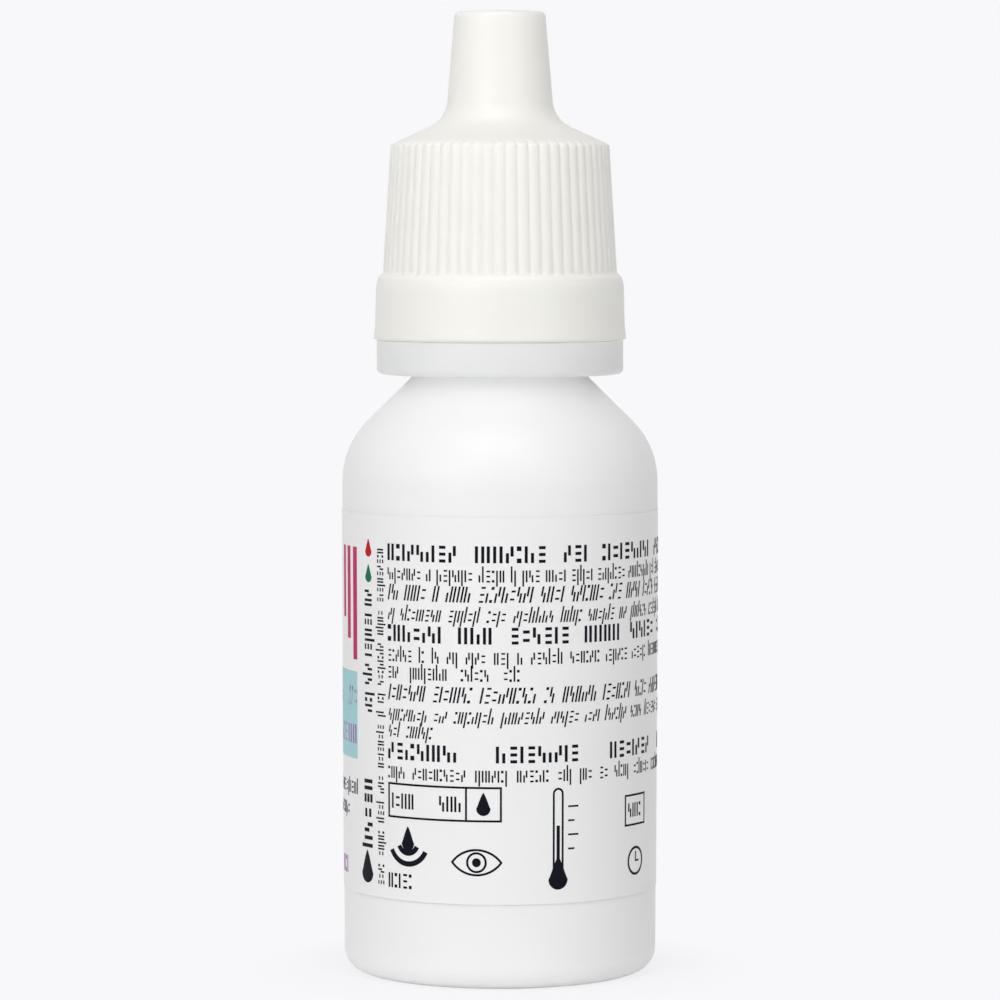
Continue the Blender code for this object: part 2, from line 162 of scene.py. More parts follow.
def carried_round(name, section, angles, push=None, crease=40):
    """Closed mesh of a section (r, z) at each angle; push(angle, r, z) moves a point outwards."""
    points = [p for i, p in enumerate(section) if (p - section[i - 1]).length > SAME_POINT]
    polar = points[0].x < ON_AXIS
    line = np.array([tuple(p) for p in points])
    along = np.roll(line, -1, 0) - np.roll(line, 1, 0)
    if polar:
        along[0], along[-1] = (1, 0), (-1, 0)
    out = np.stack([along[:, 1], -along[:, 0]], 1) / np.linalg.norm(along, axis=1)[:, None]
    rings = line[1:-1] if polar else line
    ring_out = out[1:-1] if polar else out
    verts = []
    for angle in angles:
        for (r, z), (nr, nz) in zip(rings, ring_out):
            lift = push(angle, r, z) if push else 0
            pushed = r + nr * lift
            verts.append((pushed * math.cos(angle), pushed * math.sin(angle), z + nz * lift))
    rows, turns = len(rings), len(angles)
    faces = []
    for j in range(turns):
        here, there = j * rows, (j + 1) % turns * rows
        for i in range(rows - 1 if polar else rows):
            k = (i + 1) % rows
            faces.append((here + i, there + i, there + k, here + k))
    if polar:
        foot, head = len(verts), len(verts) + 1
        verts += [(0, 0, line[0][1]), (0, 0, line[-1][1])]
        for j in range(turns):
            here, there = j * rows, (j + 1) % turns * rows
            faces.append((foot, there, here))
            faces.append((head, here + rows - 1, there + rows - 1))
    return made(name, verts, faces, crease)


print(f"points nearer than {SAME_POINT / MM:.4f} mm count as one")

# %% [markdown]
# Some pieces aren't round: a weld, a label, a stroke of ink. They are tubes of a few points to a
# row, so one list of faces serves them all. Its ends are closed, or meet where the tube is a ring.

# %% Close a tube of rows


def tube_faces(start, rows, sides, ring=False):
    """Faces of a tube whose rows of points begin at index start."""
    faces = []
    for i in range(rows if ring else rows - 1):
        here, there = start + sides * i, start + sides * ((i + 1) % rows)
        for k in range(sides):
            m = (k + 1) % sides
            faces.append((here + k, there + k, there + m, here + m))
    if not ring:
        last = start + sides * (rows - 1)
        faces += [tuple(range(start, start + sides)), tuple(range(last + sides - 1, last - 1, -1))]
    return faces


print("two rows of four points make", len(tube_faces(0, 2, 4)), "faces")

# %% [markdown]
# ## How a moulded plastic looks
# Moulded polyethylene is never one flat colour. Its thickness varies, so it clouds over some
# millimetres, its skin has a fine peel from the mould, and its gloss drifts. All three could be
# painted, but noise in the object's own metres gives them at their real size on every piece.

# %% Make noise at a real size


def noise(tree, where, scale, detail=2.0, roughness=0.5):
    """Noise texture in the object's own metres; scale is waves per metre."""
    node = tree.nodes.new("ShaderNodeTexNoise")
    node.inputs["Scale"].default_value = scale
    node.inputs["Detail"].default_value = detail
    node.inputs["Roughness"].default_value = roughness
    tree.links.new(where, node.inputs["Vector"])
    return node.outputs["Fac"]


def spread(tree, value, low, high, start=0.3, end=0.7):
    """Stretch the middle of a noise onto a range."""
    node = tree.nodes.new("ShaderNodeMapRange")
    node.inputs["From Min"].default_value = start
    node.inputs["From Max"].default_value = end
    node.inputs["To Min"].default_value = low
    node.inputs["To Max"].default_value = high
    tree.links.new(value, node.inputs["Value"])
    return node.outputs["Result"]


print(f"a cloud of 9 mm is {1 / (9 * MM):.0f} waves to the metre")

# %% [markdown]
# One function mixes every plastic of this bottle from those noises. What is the same all over, such
# as the light that soaks into the skin, is set directly on the shader's own sockets.

# %% Mix a moulded plastic


def finish_of(name, pale, deep, gloss, cloud, peel, peel_depth, soak=0.0, soak_depth=0.4 * MM, shine=0.4):
    """Plastic that clouds between two colours, with a gloss range, a peel size and its depth."""
    material = bpy.data.materials.new(name)
    material.use_nodes = True
    tree = material.node_tree
    shader = tree.nodes["Principled BSDF"]
    where = tree.nodes.new("ShaderNodeTexCoord").outputs["Object"]
    clouds = noise(tree, where, 1 / cloud, detail=3)
    ramp = tree.nodes.new("ShaderNodeMix")
    ramp.data_type = "RGBA"
    ramp.inputs["A"].default_value = (*deep, 1)
    ramp.inputs["B"].default_value = (*pale, 1)
    tree.links.new(spread(tree, clouds, 0, 1), ramp.inputs["Factor"])
    tree.links.new(ramp.outputs["Result"], shader.inputs["Base Color"])
    drift = noise(tree, where, 3 / cloud, detail=4, roughness=0.6)
    tree.links.new(spread(tree, drift, *gloss), shader.inputs["Roughness"])
    bump = tree.nodes.new("ShaderNodeBump")
    bump.inputs["Distance"].default_value = peel_depth
    bump.inputs["Strength"].default_value = 1
    tree.links.new(noise(tree, where, 1 / peel, detail=3), bump.inputs["Height"])
    tree.links.new(bump.outputs["Normal"], shader.inputs["Normal"])
    shader.inputs["Specular IOR Level"].default_value = shine
    shader.inputs["Subsurface Weight"].default_value = soak
    shader.inputs["Subsurface Scale"].default_value = soak_depth
    shader.inputs["Subsurface Radius"].default_value = (1.0, 1.0, 1.0)
    return material


bottle_white = finish_of(
    "blown_white_polyethylene", (0.932, 0.931, 0.928), (0.918, 0.917, 0.914), (0.3, 0.38),
    cloud=9 * MM, peel=0.5 * MM, peel_depth=0.004 * MM, soak=0.5, soak_depth=0.5 * MM
)
print("made", bottle_white.name)

# %% [markdown]
# ## Put a piece in its place
# Each finished piece needs three things: the body that it moves with, the solid that it stands
# for, and its finish. One line for all three keeps them together.

# %% Seat a finished piece


def seat(piece, material, body, node=None):
    """Give a piece its material, its body and the node that it replaces."""
    piece.data.materials.clear()
    piece.data.materials.append(material)
    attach(piece, body)
    if node:
        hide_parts(node)
    print(f"{piece.name}: {len(piece.data.polygons)} faces, rides on {body}")


# %% [markdown]
# ## The bottle
# The real bottle is blown from a soft tube inside a split mould: a straight body with a rounded
# heel, a round shoulder, a 45 degree cone and a neck. The section below follows the solid with
# finer arcs. It keeps the wall, so the bottle is hollow here too.

# %% Shape the foot and its dished floor
HEEL, DRAFT = 2.0 * MM, 0.13 * MM
WALL, FLOOR = 0.9 * MM, 1.0 * MM
FOOT_BORE_R, PUSH_UP = 9.0 * MM, 0.8 * MM
foot_r = body_r - DRAFT


def floor_height(r):
    """Height of the dished floor at a radius."""
    radius = (FOOT_BORE_R**2 + PUSH_UP**2) / (2 * PUSH_UP)
    return PUSH_UP - radius + math.sqrt(radius**2 - r**2)


def dished(lift, steps=14):
    """Corners of the dished floor from the axis to the foot ring."""
    return [(r, lift + floor_height(r), 0) for r in (FOOT_BORE_R * k / steps for k in range(steps))]


print(f"the floor rises {floor_height(0) / MM:.1f} mm in its middle")

# %% [markdown]
# Two beads stand out on the neck. The lower one traps the loose ring, the upper one holds the
# dropper. Both have a flat underside and a ramp on top, so that what snaps on doesn't come off.

# %% Draw the bottle's section
SHOULDER, SHOULDER_Z = 6.8 * MM, 41.8 * MM
SOLID_LAND_R, SOLID_LAND_Z = 7.25 * MM, 47.1 * MM
NECK_R, NECK_BORE = 5.9 * MM, 4.9 * MM
RING_RAISE, REST = 0.17 * MM, 0.1 * MM
BEAD_RISE, BEAD_PROUD, BEAD_T, BEAD_RAMP = 2.85 * MM, 0.6 * MM, 0.3 * MM, 0.5 * MM
SNAP_DROP, SNAP_PROUD, SNAP_T, SNAP_RAMP = 5.2 * MM, 0.35 * MM, 0.4 * MM, 0.5 * MM
LAND_T, LAND_INSET, CONE_DROP = 1.5 * MM, 0.4 * MM, 0.37 * MM
land_z = ring_foot + RING_RAISE - REST
land_r = SOLID_LAND_R - (land_z - SOLID_LAND_Z)
bead_z = ring_foot + BEAD_RISE
snap_z = neck_top - SNAP_DROP

outside = [
    (FOOT_BORE_R, 0, 0.3 * MM),
    (foot_r, 0, HEEL),
    (body_r, SHOULDER_Z, SHOULDER),
    (land_r, land_z, 0.12 * MM),
    (NECK_R, land_z, 0.15 * MM),
    (NECK_R, bead_z, 0),
    (NECK_R + BEAD_PROUD, bead_z, 0.08 * MM),
    (NECK_R + BEAD_PROUD, bead_z + BEAD_T, 0.08 * MM),
    (NECK_R, bead_z + BEAD_T + BEAD_RAMP, 0.1 * MM),
    (NECK_R, snap_z, 0),
    (NECK_R + SNAP_PROUD, snap_z, 0.05 * MM),
    (NECK_R + SNAP_PROUD, snap_z + SNAP_T, 0.05 * MM),
    (NECK_R, snap_z + SNAP_T + SNAP_RAMP, 0),
    (NECK_R, neck_top, 0.3 * MM),
]
inside = [
    (NECK_BORE, neck_top, 0.3 * MM),
    (NECK_BORE, land_z - LAND_T, 0.1 * MM),
    (land_r - LAND_INSET, land_z - LAND_T, 0.4 * MM),
    (body_r - WALL, SHOULDER_Z - CONE_DROP, SHOULDER - WALL),
    (foot_r - WALL, FLOOR, HEEL - WALL),
    (FOOT_BORE_R, FLOOR, 0),
]
bottle_section = rounded(dished(0) + outside + inside + dished(FLOOR)[::-1])
print("the bottle's section has", len(bottle_section), "points")

# %% [markdown]
# The two halves of the mould leave a hairline along both sides. It is only a few hundredths of a
# millimetre proud, so extra points are packed round it, and a narrow bell curve lifts them.

# %% Blow the bottle
LINE_PROUD, LINE_WIDTH, LINE_REACH = 0.03 * MM, 0.1 * MM, 1.0 * MM
LINE_STEP, LINE_POINTS = 0.004, 8
BOTTLE_STEPS = 216


def parting_line(angle, r, z):
    """Height of the mould's parting line, which starts at the foot and runs up both sides."""
    sideways = r * math.sin(angle)
    within = r < FOOT_BORE_R or (z > land_z and r < NECK_R - 0.5 * MM)
    if within or abs(sideways) > LINE_REACH:
        return 0
    return LINE_PROUD * min(1, z / HEEL) * math.exp(-((sideways / LINE_WIDTH) ** 2))


close = [side * LINE_STEP * k for k in range(1, LINE_POINTS + 1) for side in (-1, 1)]
near_lines = {(math.pi * half + a) % math.tau for half in (0, 1) for a in close}
bottle_angles = sorted(set(evenly(BOTTLE_STEPS)) | near_lines)
squeeze_bottle = carried_round("squeeze_bottle", bottle_section, bottle_angles, parting_line)
seat(squeeze_bottle, bottle_white, "bottle", "bottle")

# %% [markdown]
# Where the mould pinches the tube shut, a weld stays across the dished floor, in line with the
# parting lines. It is a low half-round ridge that thins out at both ends.

# %% Lay the pinched weld across the floor
WELD_LENGTH, WELD_WIDTH, WELD_PROUD = 13 * MM, 0.55 * MM, 0.16 * MM
WELD_STEPS, WELD_SIDES, WELD_TIP = 40, 12, 0.02
weld_verts = []
for i in range(WELD_STEPS + 1):
    x = WELD_LENGTH * (i / WELD_STEPS - 0.5)
    thin = math.sqrt(max(WELD_TIP, 1 - (2 * x / WELD_LENGTH) ** 4))
    for a in evenly(WELD_SIDES)[::-1]:
        y = WELD_WIDTH / 2 * thin * math.cos(a)
        weld_verts.append((x, y, floor_height(abs(x)) + WELD_PROUD * thin * math.sin(a)))
floor_weld = made("floor_weld", weld_verts, tube_faces(0, WELD_STEPS + 1, WELD_SIDES), 60)
seat(floor_weld, bottle_white, "bottle")

# %% [markdown]
# ## The ribbed cap
# The cap is the piece that the eye goes to: a plain band with a thin lip, sixty upright ribs, a
# concave flare and a slim nose. Sixty cutters could carve the grooves, but their edges would stay
# knife sharp. Here the section is carried round with eight angles to each rib, and a push sinks the
# grooves along the section's normal, so they round over the ribs' heads and run out on the band.

# %% Draw the cap's outer section
RIBS = 60
BAND_R, BAND_H = 9.84 * MM, 5.25 * MM
RIB_FOOT_R, RIB_HEAD_R, RIB_HEAD_Z = 9.3 * MM, 8.68 * MM, 65.75 * MM
NOSE_ROOT_R, NOSE_TOP_R, NOSE_DROP = 4.31 * MM, 3.59 * MM, 0.15 * MM
GATE_R, GATE_RIM_R, GATE_DIP = 0.3 * MM, 0.95 * MM, 0.15 * MM
flare_slope = math.tan(math.radians(24.5))
band_top = cap_foot + BAND_H
nose_z = cap_top - NOSE_DROP
nose_root_z = RIB_HEAD_Z + (RIB_HEAD_R - NOSE_ROOT_R) * flare_slope

cap_outside = [
    (lip_r - 0.05 * MM, cap_foot, 0.12 * MM),
    (lip_r, cap_foot + 0.22 * MM, 0.12 * MM),
    (lip_r - 0.1 * MM, cap_foot + 0.95 * MM, 0.9 * MM),
    (BAND_R, band_top - 0.95 * MM, 0.9 * MM),
    (BAND_R - 0.15 * MM, band_top - 0.3 * MM, 0.5 * MM),
    (RIB_FOOT_R, band_top + 0.06 * MM, 0.2 * MM),
    (RIB_HEAD_R, RIB_HEAD_Z, 0.32 * MM),
    (NOSE_ROOT_R, nose_root_z, 2.5 * MM),
    (NOSE_TOP_R, nose_z, 0.45 * MM),
    (GATE_RIM_R + 0.15 * MM, nose_z, 0.08 * MM),
    (GATE_RIM_R, nose_z - GATE_DIP, 0.05 * MM),
    (GATE_R, nose_z - GATE_DIP, 0),
    (GATE_R - 0.06 * MM, nose_z - GATE_DIP + 0.09 * MM, 0),
    (0, nose_z - GATE_DIP + 0.09 * MM, 0),
]
print(f"nose root at {nose_root_z / MM:.2f} mm")

# %% [markdown]
# Inside, the cap has a thread, a hollow nose and a stud that closes the dropper's mouth. The solid
# has the same hollows, so the section goes round them with the same walls.

# %% Draw the cap's inner section
CAP_BORE, SKIRT_BORE, NOSE_BORE = 7.6 * MM, 8.8 * MM, 3.5 * MM
CAP_WALL, ROOF_T, ROOF_INSET = 1.08 * MM, 1.0 * MM, 0.6 * MM
STUD_R, STUD_DIP, SKIRT_DROP = 0.8 * MM, 0.37 * MM, 0.78 * MM
bore_top = RIB_HEAD_Z + (RIB_HEAD_R - CAP_BORE) * flare_slope - CAP_WALL
nose_bore_z = bore_top + (CAP_BORE - NOSE_BORE) * flare_slope
roof_z = cap_top - ROOF_T
stud_tip = nozzle_top - STUD_DIP
skirt_top = band_top - SKIRT_DROP

cap_inside = [
    (0, stud_tip, 0),
    (STUD_R, stud_tip, 0.25 * MM),
    (STUD_R, roof_z, 0.15 * MM),
    (NOSE_BORE - ROOF_INSET, roof_z, 0.4 * MM),
    (NOSE_BORE, nose_bore_z, 1.25 * MM),
    (CAP_BORE, bore_top, 0.2 * MM),
    (CAP_BORE, skirt_top, 0.15 * MM),
    (SKIRT_BORE, skirt_top - (SKIRT_BORE - CAP_BORE), 0.15 * MM),
    (SKIRT_BORE, cap_foot, 0.1 * MM),
]
print(f"the stud ends {STUD_DIP / MM:.2f} mm inside the nozzle's mouth")

# %% [markdown]
# A thread is a ridge that climbs one pitch for each turn. The ridge is found from a point's angle
# and height, and it fades in and out at both ends, as a mould's thread does.

# %% Find a thread's ridge
PITCH = 2.2 * MM
ENDS_SHARE, FLANK_SHARE = 0.12, 0.35


def eased(value):
    """Smooth step from 0 to 1."""
    value = max(0.0, min(1.0, value))
    return value * value * (3 - 2 * value)


def thread_share(angle, z, start, turns, width):
    """How much of the ridge's height a point has, from 0 to 1."""
    climbed = (z - start) / PITCH - angle / math.tau
    lap = round(climbed)
    travelled = lap + angle / math.tau
    if not 0 <= travelled <= turns:
        return 0.0
    ends = eased(min(travelled, turns - travelled) / ENDS_SHARE)
    return ends * eased((width / 2 - abs(climbed - lap) * PITCH) / (FLANK_SHARE * width))


print("ridge at its middle:", thread_share(0.0, 55 * MM + PITCH, 55 * MM, 2, MM))

# %% [markdown]
# The groove between two ribs is a third of the pitch wide at half its depth, deepest in its middle
# and soft at its edges, and the rib itself is slightly crowned. Eight angles to each rib, packed
# closer in the groove, are enough to show that.

# %% Push the ribs, the run-outs and the inner thread
GROOVE_HALF_SHARE, GROOVE_DEPTH, RIB_CROWN = 0.32, 0.12 * MM, 0.02 * MM
RUN_START, RUN_OUT = 0.25 * MM, 0.5 * MM
SLOPE_REACH, SLOPE_FADE = 0.7 * MM, 0.5 * MM
THREAD_Z, THREAD_TURNS, THREAD_WIDTH, THREAD_PROUD = 55.6 * MM, 2.2, 0.9 * MM, 0.14 * MM
NEAR, TOUCHING = 0.05 * MM, 0.02 * MM
rib_shares = (-0.5, -0.34, -0.22, -0.11, 0.0, 0.11, 0.22, 0.34)
cap_angles = [math.tau * (k + 0.5 + share) / RIBS for k in range(RIBS) for share in rib_shares]


def cap_push(angle, r, z):
    """Sink the grooves into the outside and raise the thread on the bore."""
    if abs(r - CAP_BORE) < NEAR and z < bore_top:
        return THREAD_PROUD * thread_share(angle, z, THREAD_Z, THREAD_TURNS, THREAD_WIDTH)
    if z <= band_top - RUN_START or r <= RIB_HEAD_R - SLOPE_REACH - NEAR:
        return 0
    share = (angle * RIBS / math.tau) % 1 - 0.5
    groove = 0.5 + 0.5 * math.cos(math.pi * min(1, abs(share) / GROOVE_HALF_SHARE))
    rise = eased((z - band_top + RUN_START) / RUN_OUT)
    on_slope = z > RIB_HEAD_Z - TOUCHING
    fade = eased((r - RIB_HEAD_R + SLOPE_REACH) / SLOPE_FADE) if on_slope else 1
    crown = (1 - 2 * abs(share)) ** 2
    return -rise * fade * (GROOVE_DEPTH * groove + RIB_CROWN * crown)


print("angles round the cap:", len(cap_angles))

# %% [markdown]
# A section has points only where it turns. What fades along a straight wall needs rows of its own,
# so extra rows go where a groove ends, at its head and on the band, and where the thread climbs.

# %% Add rows where details fade


def with_rows(points, low, high, step):
    """Add rows to a section between two heights, so that details can shape them."""
    split = []
    for a, b in zip(points, points[1:] + points[:1]):
        split.append(a)
        if max(a.x, b.x) > 0:
            count = math.ceil((b - a).length / step)
            added = [a.lerp(b, k / count) for k in range(1, count)]
            split += [p for p in added if low < p.y < high]
    return split


cap_section = rounded(cap_inside + cap_outside)
cap_section = with_rows(cap_section, RIB_HEAD_Z - 0.6 * MM, RIB_HEAD_Z + 0.5 * MM, 0.1 * MM)
cap_section = with_rows(cap_section, band_top - 0.5 * MM, band_top + 0.3 * MM, 0.09 * MM)
cap_section = with_rows(cap_section, THREAD_Z - 0.5 * MM, THREAD_Z + 5.4 * MM, 0.2 * MM)
print("the cap's section has", len(cap_section), "points")

# %% [markdown]
# The cap's white is the warmest on this bottle, and light goes a little way into it, which softens
# the shade between the ribs.

# %% Turn the cap
screw_cap = carried_round("screw_cap", cap_section, cap_angles, cap_push)
cap_ivory = finish_of(
    "ivory_cap_polyethylene", (0.957, 0.921, 0.87), (0.942, 0.904, 0.848), (0.29, 0.37),
    cloud=7 * MM, peel=0.35 * MM, peel_depth=0.002 * MM, soak=0.8, soak_depth=0.8 * MM
)
seat(screw_cap, cap_ivory, "cap", "cap")

# %% [markdown]
# ## The ring on the neck
# The ring is left behind when the cap is first opened. It is moulded without a white pigment, so it
# looks milky and a little darker than the cap. Light soaks deep into such plastic, so this finish
# takes a strong soak instead of a grey paint.

# %% Turn the ring
RING_WALL, HUB_WALL, RING_LIP_WALL = 1.0 * MM, 0.8 * MM, 0.8 * MM
RING_WEB, RUN_GAP, LIP_GAP = 0.9 * MM, 0.25 * MM, 0.15 * MM
ring_base = ring_foot + RING_RAISE
ring_top = cap_foot - 0.05 * MM
ring_outer = ring_r - 0.05 * MM
ring_inner = ring_r - RING_WALL
ring_bore = NECK_R + RUN_GAP
ring_lip_r = SKIRT_BORE - LIP_GAP
ring_section = rounded([
    (ring_bore, ring_base, 0.12 * MM),
    (ring_bore + HUB_WALL, ring_base, 0.12 * MM),
    (ring_bore + HUB_WALL, ring_top - RING_WEB, 0.2 * MM),
    (ring_inner, ring_top - RING_WEB, 0.2 * MM),
    (ring_inner, ring_base, 0.12 * MM),
    (ring_outer, ring_base, 0.5 * MM),
    (ring_outer, ring_top, 0.1 * MM),
    (ring_lip_r, ring_top, 0.08 * MM),
    (ring_lip_r, ring_lip_top, 0.14 * MM),
    (ring_lip_r - RING_LIP_WALL, ring_lip_top, 0.14 * MM),
    (ring_lip_r - RING_LIP_WALL, ring_top, 0.08 * MM),
    (ring_bore, ring_top, 0.12 * MM),
])
milky = finish_of(
    "milky_natural_polyethylene", (0.832, 0.836, 0.831), (0.808, 0.814, 0.809), (0.3, 0.4),
    cloud=6 * MM, peel=0.4 * MM, peel_depth=0.003 * MM, soak=1.0, soak_depth=1.5 * MM, shine=0.3
)
opening_ring = carried_round("opening_ring", ring_section, evenly(192))
seat(opening_ring, milky, "tamper_ring", "tamper_ring")

# %% [markdown]
# ## The dropper under the cap
# The dropper snaps over the neck and carries the thread that the cap turns on. Its section goes
# down inside the neck as the plug seal and the socket of the insert, and up as the valve's turret.
# A groove in the sleeve takes the neck's snap bead.

# %% Draw the dropper's section
DECK_T, STOP_T = 1.2 * MM, 0.6 * MM
SLEEVE_BORE, GROOVE_R = 6.0 * MM, 6.4 * MM
PLUG_R, PLUG_BORE, PLUG_H = 4.75 * MM, 4.2 * MM, 4.5 * MM
SOCKET_R, SOCKET_BORE, SOCKET_H, SOCKET_LIP = 2.5 * MM, 1.6 * MM, 5.6 * MM, 0.25 * MM
TURRET_R, TURRET_BORE, TURRET_BEAD, BEAD_HALF = 2.55 * MM, 1.95 * MM, 0.12 * MM, 0.12 * MM
FLOW_HOLE_R = 0.6 * MM
deck_foot = neck_top + REST
deck_top = deck_foot + DECK_T
turret_bead_z = turret_top - 2 * BEAD_HALF
dropper_section = rounded([
    (SLEEVE_BORE, dropper_foot, 0.1 * MM),
    (sleeve_r, dropper_foot, 0.15 * MM),
    (sleeve_r, deck_top, 0.4 * MM),
    (TURRET_R, deck_top, 0.1 * MM),
    (TURRET_R, turret_bead_z - BEAD_HALF, 0),
    (TURRET_R + TURRET_BEAD, turret_bead_z, 0.04 * MM),
    (TURRET_R, turret_top, 0.05 * MM),
    (TURRET_BORE, turret_top, 0.05 * MM),
    (TURRET_BORE, deck_top, 0.1 * MM),
    (FLOW_HOLE_R, deck_top, 0.05 * MM),
    (FLOW_HOLE_R, deck_top - STOP_T, 0.05 * MM),
    (SOCKET_BORE, deck_top - STOP_T, 0),
    (SOCKET_BORE, deck_foot - SOCKET_H + SOCKET_LIP, 0),
    (SOCKET_BORE + SOCKET_LIP, deck_foot - SOCKET_H, 0),
    (SOCKET_R, deck_foot - SOCKET_H, 0.1 * MM),
    (SOCKET_R, deck_foot, 0.1 * MM),
    (PLUG_BORE, deck_foot, 0.1 * MM),
    (PLUG_BORE, deck_foot - PLUG_H, 0),
    (PLUG_R, deck_foot - PLUG_H, 0.2 * MM),
    (PLUG_R, deck_foot, 0),
    (SLEEVE_BORE, deck_foot, 0),
    (SLEEVE_BORE, snap_z + 1.05 * MM, 0),
    (GROOVE_R, snap_z + 0.55 * MM, 0),
    (GROOVE_R, snap_z - 0.15 * MM, 0),
    (SLEEVE_BORE, snap_z - 0.15 * MM, 0),
])
print(f"the deck lies from {deck_foot / MM:.1f} to {deck_top / MM:.1f} mm")

# %% [markdown]
# The thread's ridge is pushed out of the sleeve in the same way as the cap's, and it stays clear of
# the cap's own ridge.

# %% Turn the dropper with its thread
RIDGE_Z, RIDGE_TURNS, RIDGE_WIDTH, RIDGE_PROUD = 53.0 * MM, 2.6, 1.0 * MM, 0.3 * MM


def dropper_push(angle, r, z):
    """Raise the thread on the outside of the sleeve."""
    if abs(r - sleeve_r) > TOUCHING:
        return 0
    return RIDGE_PROUD * thread_share(angle, z, RIDGE_Z, RIDGE_TURNS, RIDGE_WIDTH)


dropper_section = with_rows(dropper_section, RIDGE_Z - 1.0 * MM, RIDGE_Z + 8.0 * MM, 0.14 * MM)
dropper = carried_round("dropper", dropper_section, evenly(144), dropper_push)
seat(dropper, milky, "bottle", "dropper_base")

# %% [markdown]
# The nozzle is the one piece that comes near the eye, so its tip is smooth and round, with a dished
# mouth that shapes the drop. It is pressed over the turret and is moulded in clean white.

# %% Turn the nozzle
NOZZLE_R, NOZZLE_TIP_R, NOZZLE_WALL = 3.3 * MM, 2.25 * MM, 0.65 * MM
FLANGE_T, CHAMBER_RISE = 0.8 * MM, 1.2 * MM
NOZZLE_BORE_R, MOUTH_R, MOUTH_DEPTH = 0.35 * MM, 1.2 * MM, 1.1 * MM
chamber_z = turret_top + REST
press_bore = NOZZLE_R - NOZZLE_WALL
nozzle_section = rounded([
    (press_bore, flange_foot, 0),
    (flange_r, flange_foot, 0.2 * MM),
    (flange_r, flange_foot + FLANGE_T, 0.25 * MM),
    (NOZZLE_R, flange_foot + FLANGE_T, 0.8 * MM),
    (NOZZLE_R, chamber_z + NOZZLE_WALL, 0.8 * MM),
    (NOZZLE_TIP_R, nozzle_top, 0.5 * MM),
    (MOUTH_R, nozzle_top, 0.12 * MM),
    (NOZZLE_BORE_R, nozzle_top - MOUTH_DEPTH, 0.1 * MM),
    (NOZZLE_BORE_R, chamber_z + CHAMBER_RISE, 0),
    (TURRET_BORE, chamber_z, 0),
    (press_bore, chamber_z, 0),
    (press_bore + TURRET_BEAD, turret_bead_z, 0),
    (press_bore, turret_bead_z - BEAD_HALF, 0),
])
nozzle = carried_round("nozzle", nozzle_section, evenly(144))
nozzle_white = finish_of(
    "clean_nozzle_polyethylene", (0.90, 0.905, 0.905), (0.885, 0.892, 0.893), (0.29, 0.37),
    cloud=4 * MM, peel=0.3 * MM, peel_depth=0.002 * MM, soak=0.3, soak_depth=0.5 * MM
)
seat(nozzle, nozzle_white, "bottle", "nozzle_tip")

# %% [markdown]
# ## The small pieces inside
# The insert, the filter ring and the valve are never seen unless the dropper is taken apart, and
# their solids already have the right shapes. They keep them and only get a real finish: the filter
# is grainy and dull, the silicone is clear and soft.

# %% Finish the hidden pieces
filter_felt = finish_of(
    "pressed_filter_grains", (0.84, 0.84, 0.82), (0.70, 0.70, 0.67), (0.85, 0.95),
    cloud=0.5 * MM, peel=0.12 * MM, peel_depth=0.05 * MM, shine=0.2
)
silicone = finish_of(
    "soft_clear_silicone", (0.78, 0.80, 0.82), (0.74, 0.765, 0.79), (0.22, 0.34),
    cloud=2 * MM, peel=0.3 * MM, peel_depth=0.003 * MM, soak=0.5, soak_depth=0.6 * MM
)
for node, material in (("flow_insert", nozzle_white), ("vent_membrane", filter_felt), ("valve", silicone)):
    frame["nodes"][node].data.materials.clear()
    frame["nodes"][node].data.materials.append(material)
    print(node, "keeps its solid, now in", material.name)

# %% [markdown]
# ## The wrap label
# The label is a printed film, wrapped once round the straight body from the back, with its end
# lapped over its start. A texture could carry the print, but then the film's edges would vanish.
# Here the film is a thin sheet of its own, so its edges catch the light, and the print lies on it.

# %% Find a place on the film
FILM = 0.07 * MM


def body_radius(z):
    """Outer radius of the straight body, a little narrower at its foot."""
    return body_r - (body_r - foot_r) * (1 - z / SHOULDER_Z)


def film_point(angle, z, lift):
    """Point on the film's outer face, lifted by so much."""
    r = body_radius(z) + FILM + lift
    return (r * math.cos(angle), r * math.sin(angle), z)


print(f"the film's radius at its foot is {(body_radius(label_foot) + FILM) / MM:.2f} mm")

# %% [markdown]
# The sheet has four points across its outer face: its two edges, pulled in a little so that they
# round over, and a neighbour close to each. Two more points lie just inside the bottle's skin. Where
# the wrap comes round to its start, it climbs over the first layer by its own thickness.

# %% Wrap the film
LAP, LABEL_RISE = 1.6 * MM, 0.25 * MM
EDGE, EDGE_DROP, SUNK = 0.02 * MM, 0.012 * MM, 0.02 * MM
CLIMB_TURN = 0.05
WRAP_STEPS = 300
film_low, film_high = label_foot, label_top + LABEL_RISE
film_verts = []
for i in range(WRAP_STEPS + 1):
    gone = (math.tau + LAP / body_r) * i / WRAP_STEPS
    angle = math.pi / 2 + gone
    climb = FILM * eased((gone - math.tau + CLIMB_TURN) / CLIMB_TURN)
    film_verts.append(film_point(angle, film_low, climb - EDGE_DROP))
    film_verts.append(film_point(angle, film_low + EDGE, climb))
    film_verts.append(film_point(angle, film_high - EDGE, climb))
    film_verts.append(film_point(angle, film_high, climb - EDGE_DROP))
    film_verts.append(film_point(angle, film_high, climb - FILM - SUNK))
    film_verts.append(film_point(angle, film_low, climb - FILM - SUNK))
wrap_label = made("wrap_label", film_verts, tube_faces(0, WRAP_STEPS + 1, 6), 30)
film_white = finish_of(
    "white_label_film", (0.905, 0.904, 0.901), (0.895, 0.894, 0.891), (0.29, 0.36),
    cloud=12 * MM, peel=1.6 * MM, peel_depth=0.004 * MM, shine=0.3
)
seat(wrap_label, film_white, "bottle", "label")

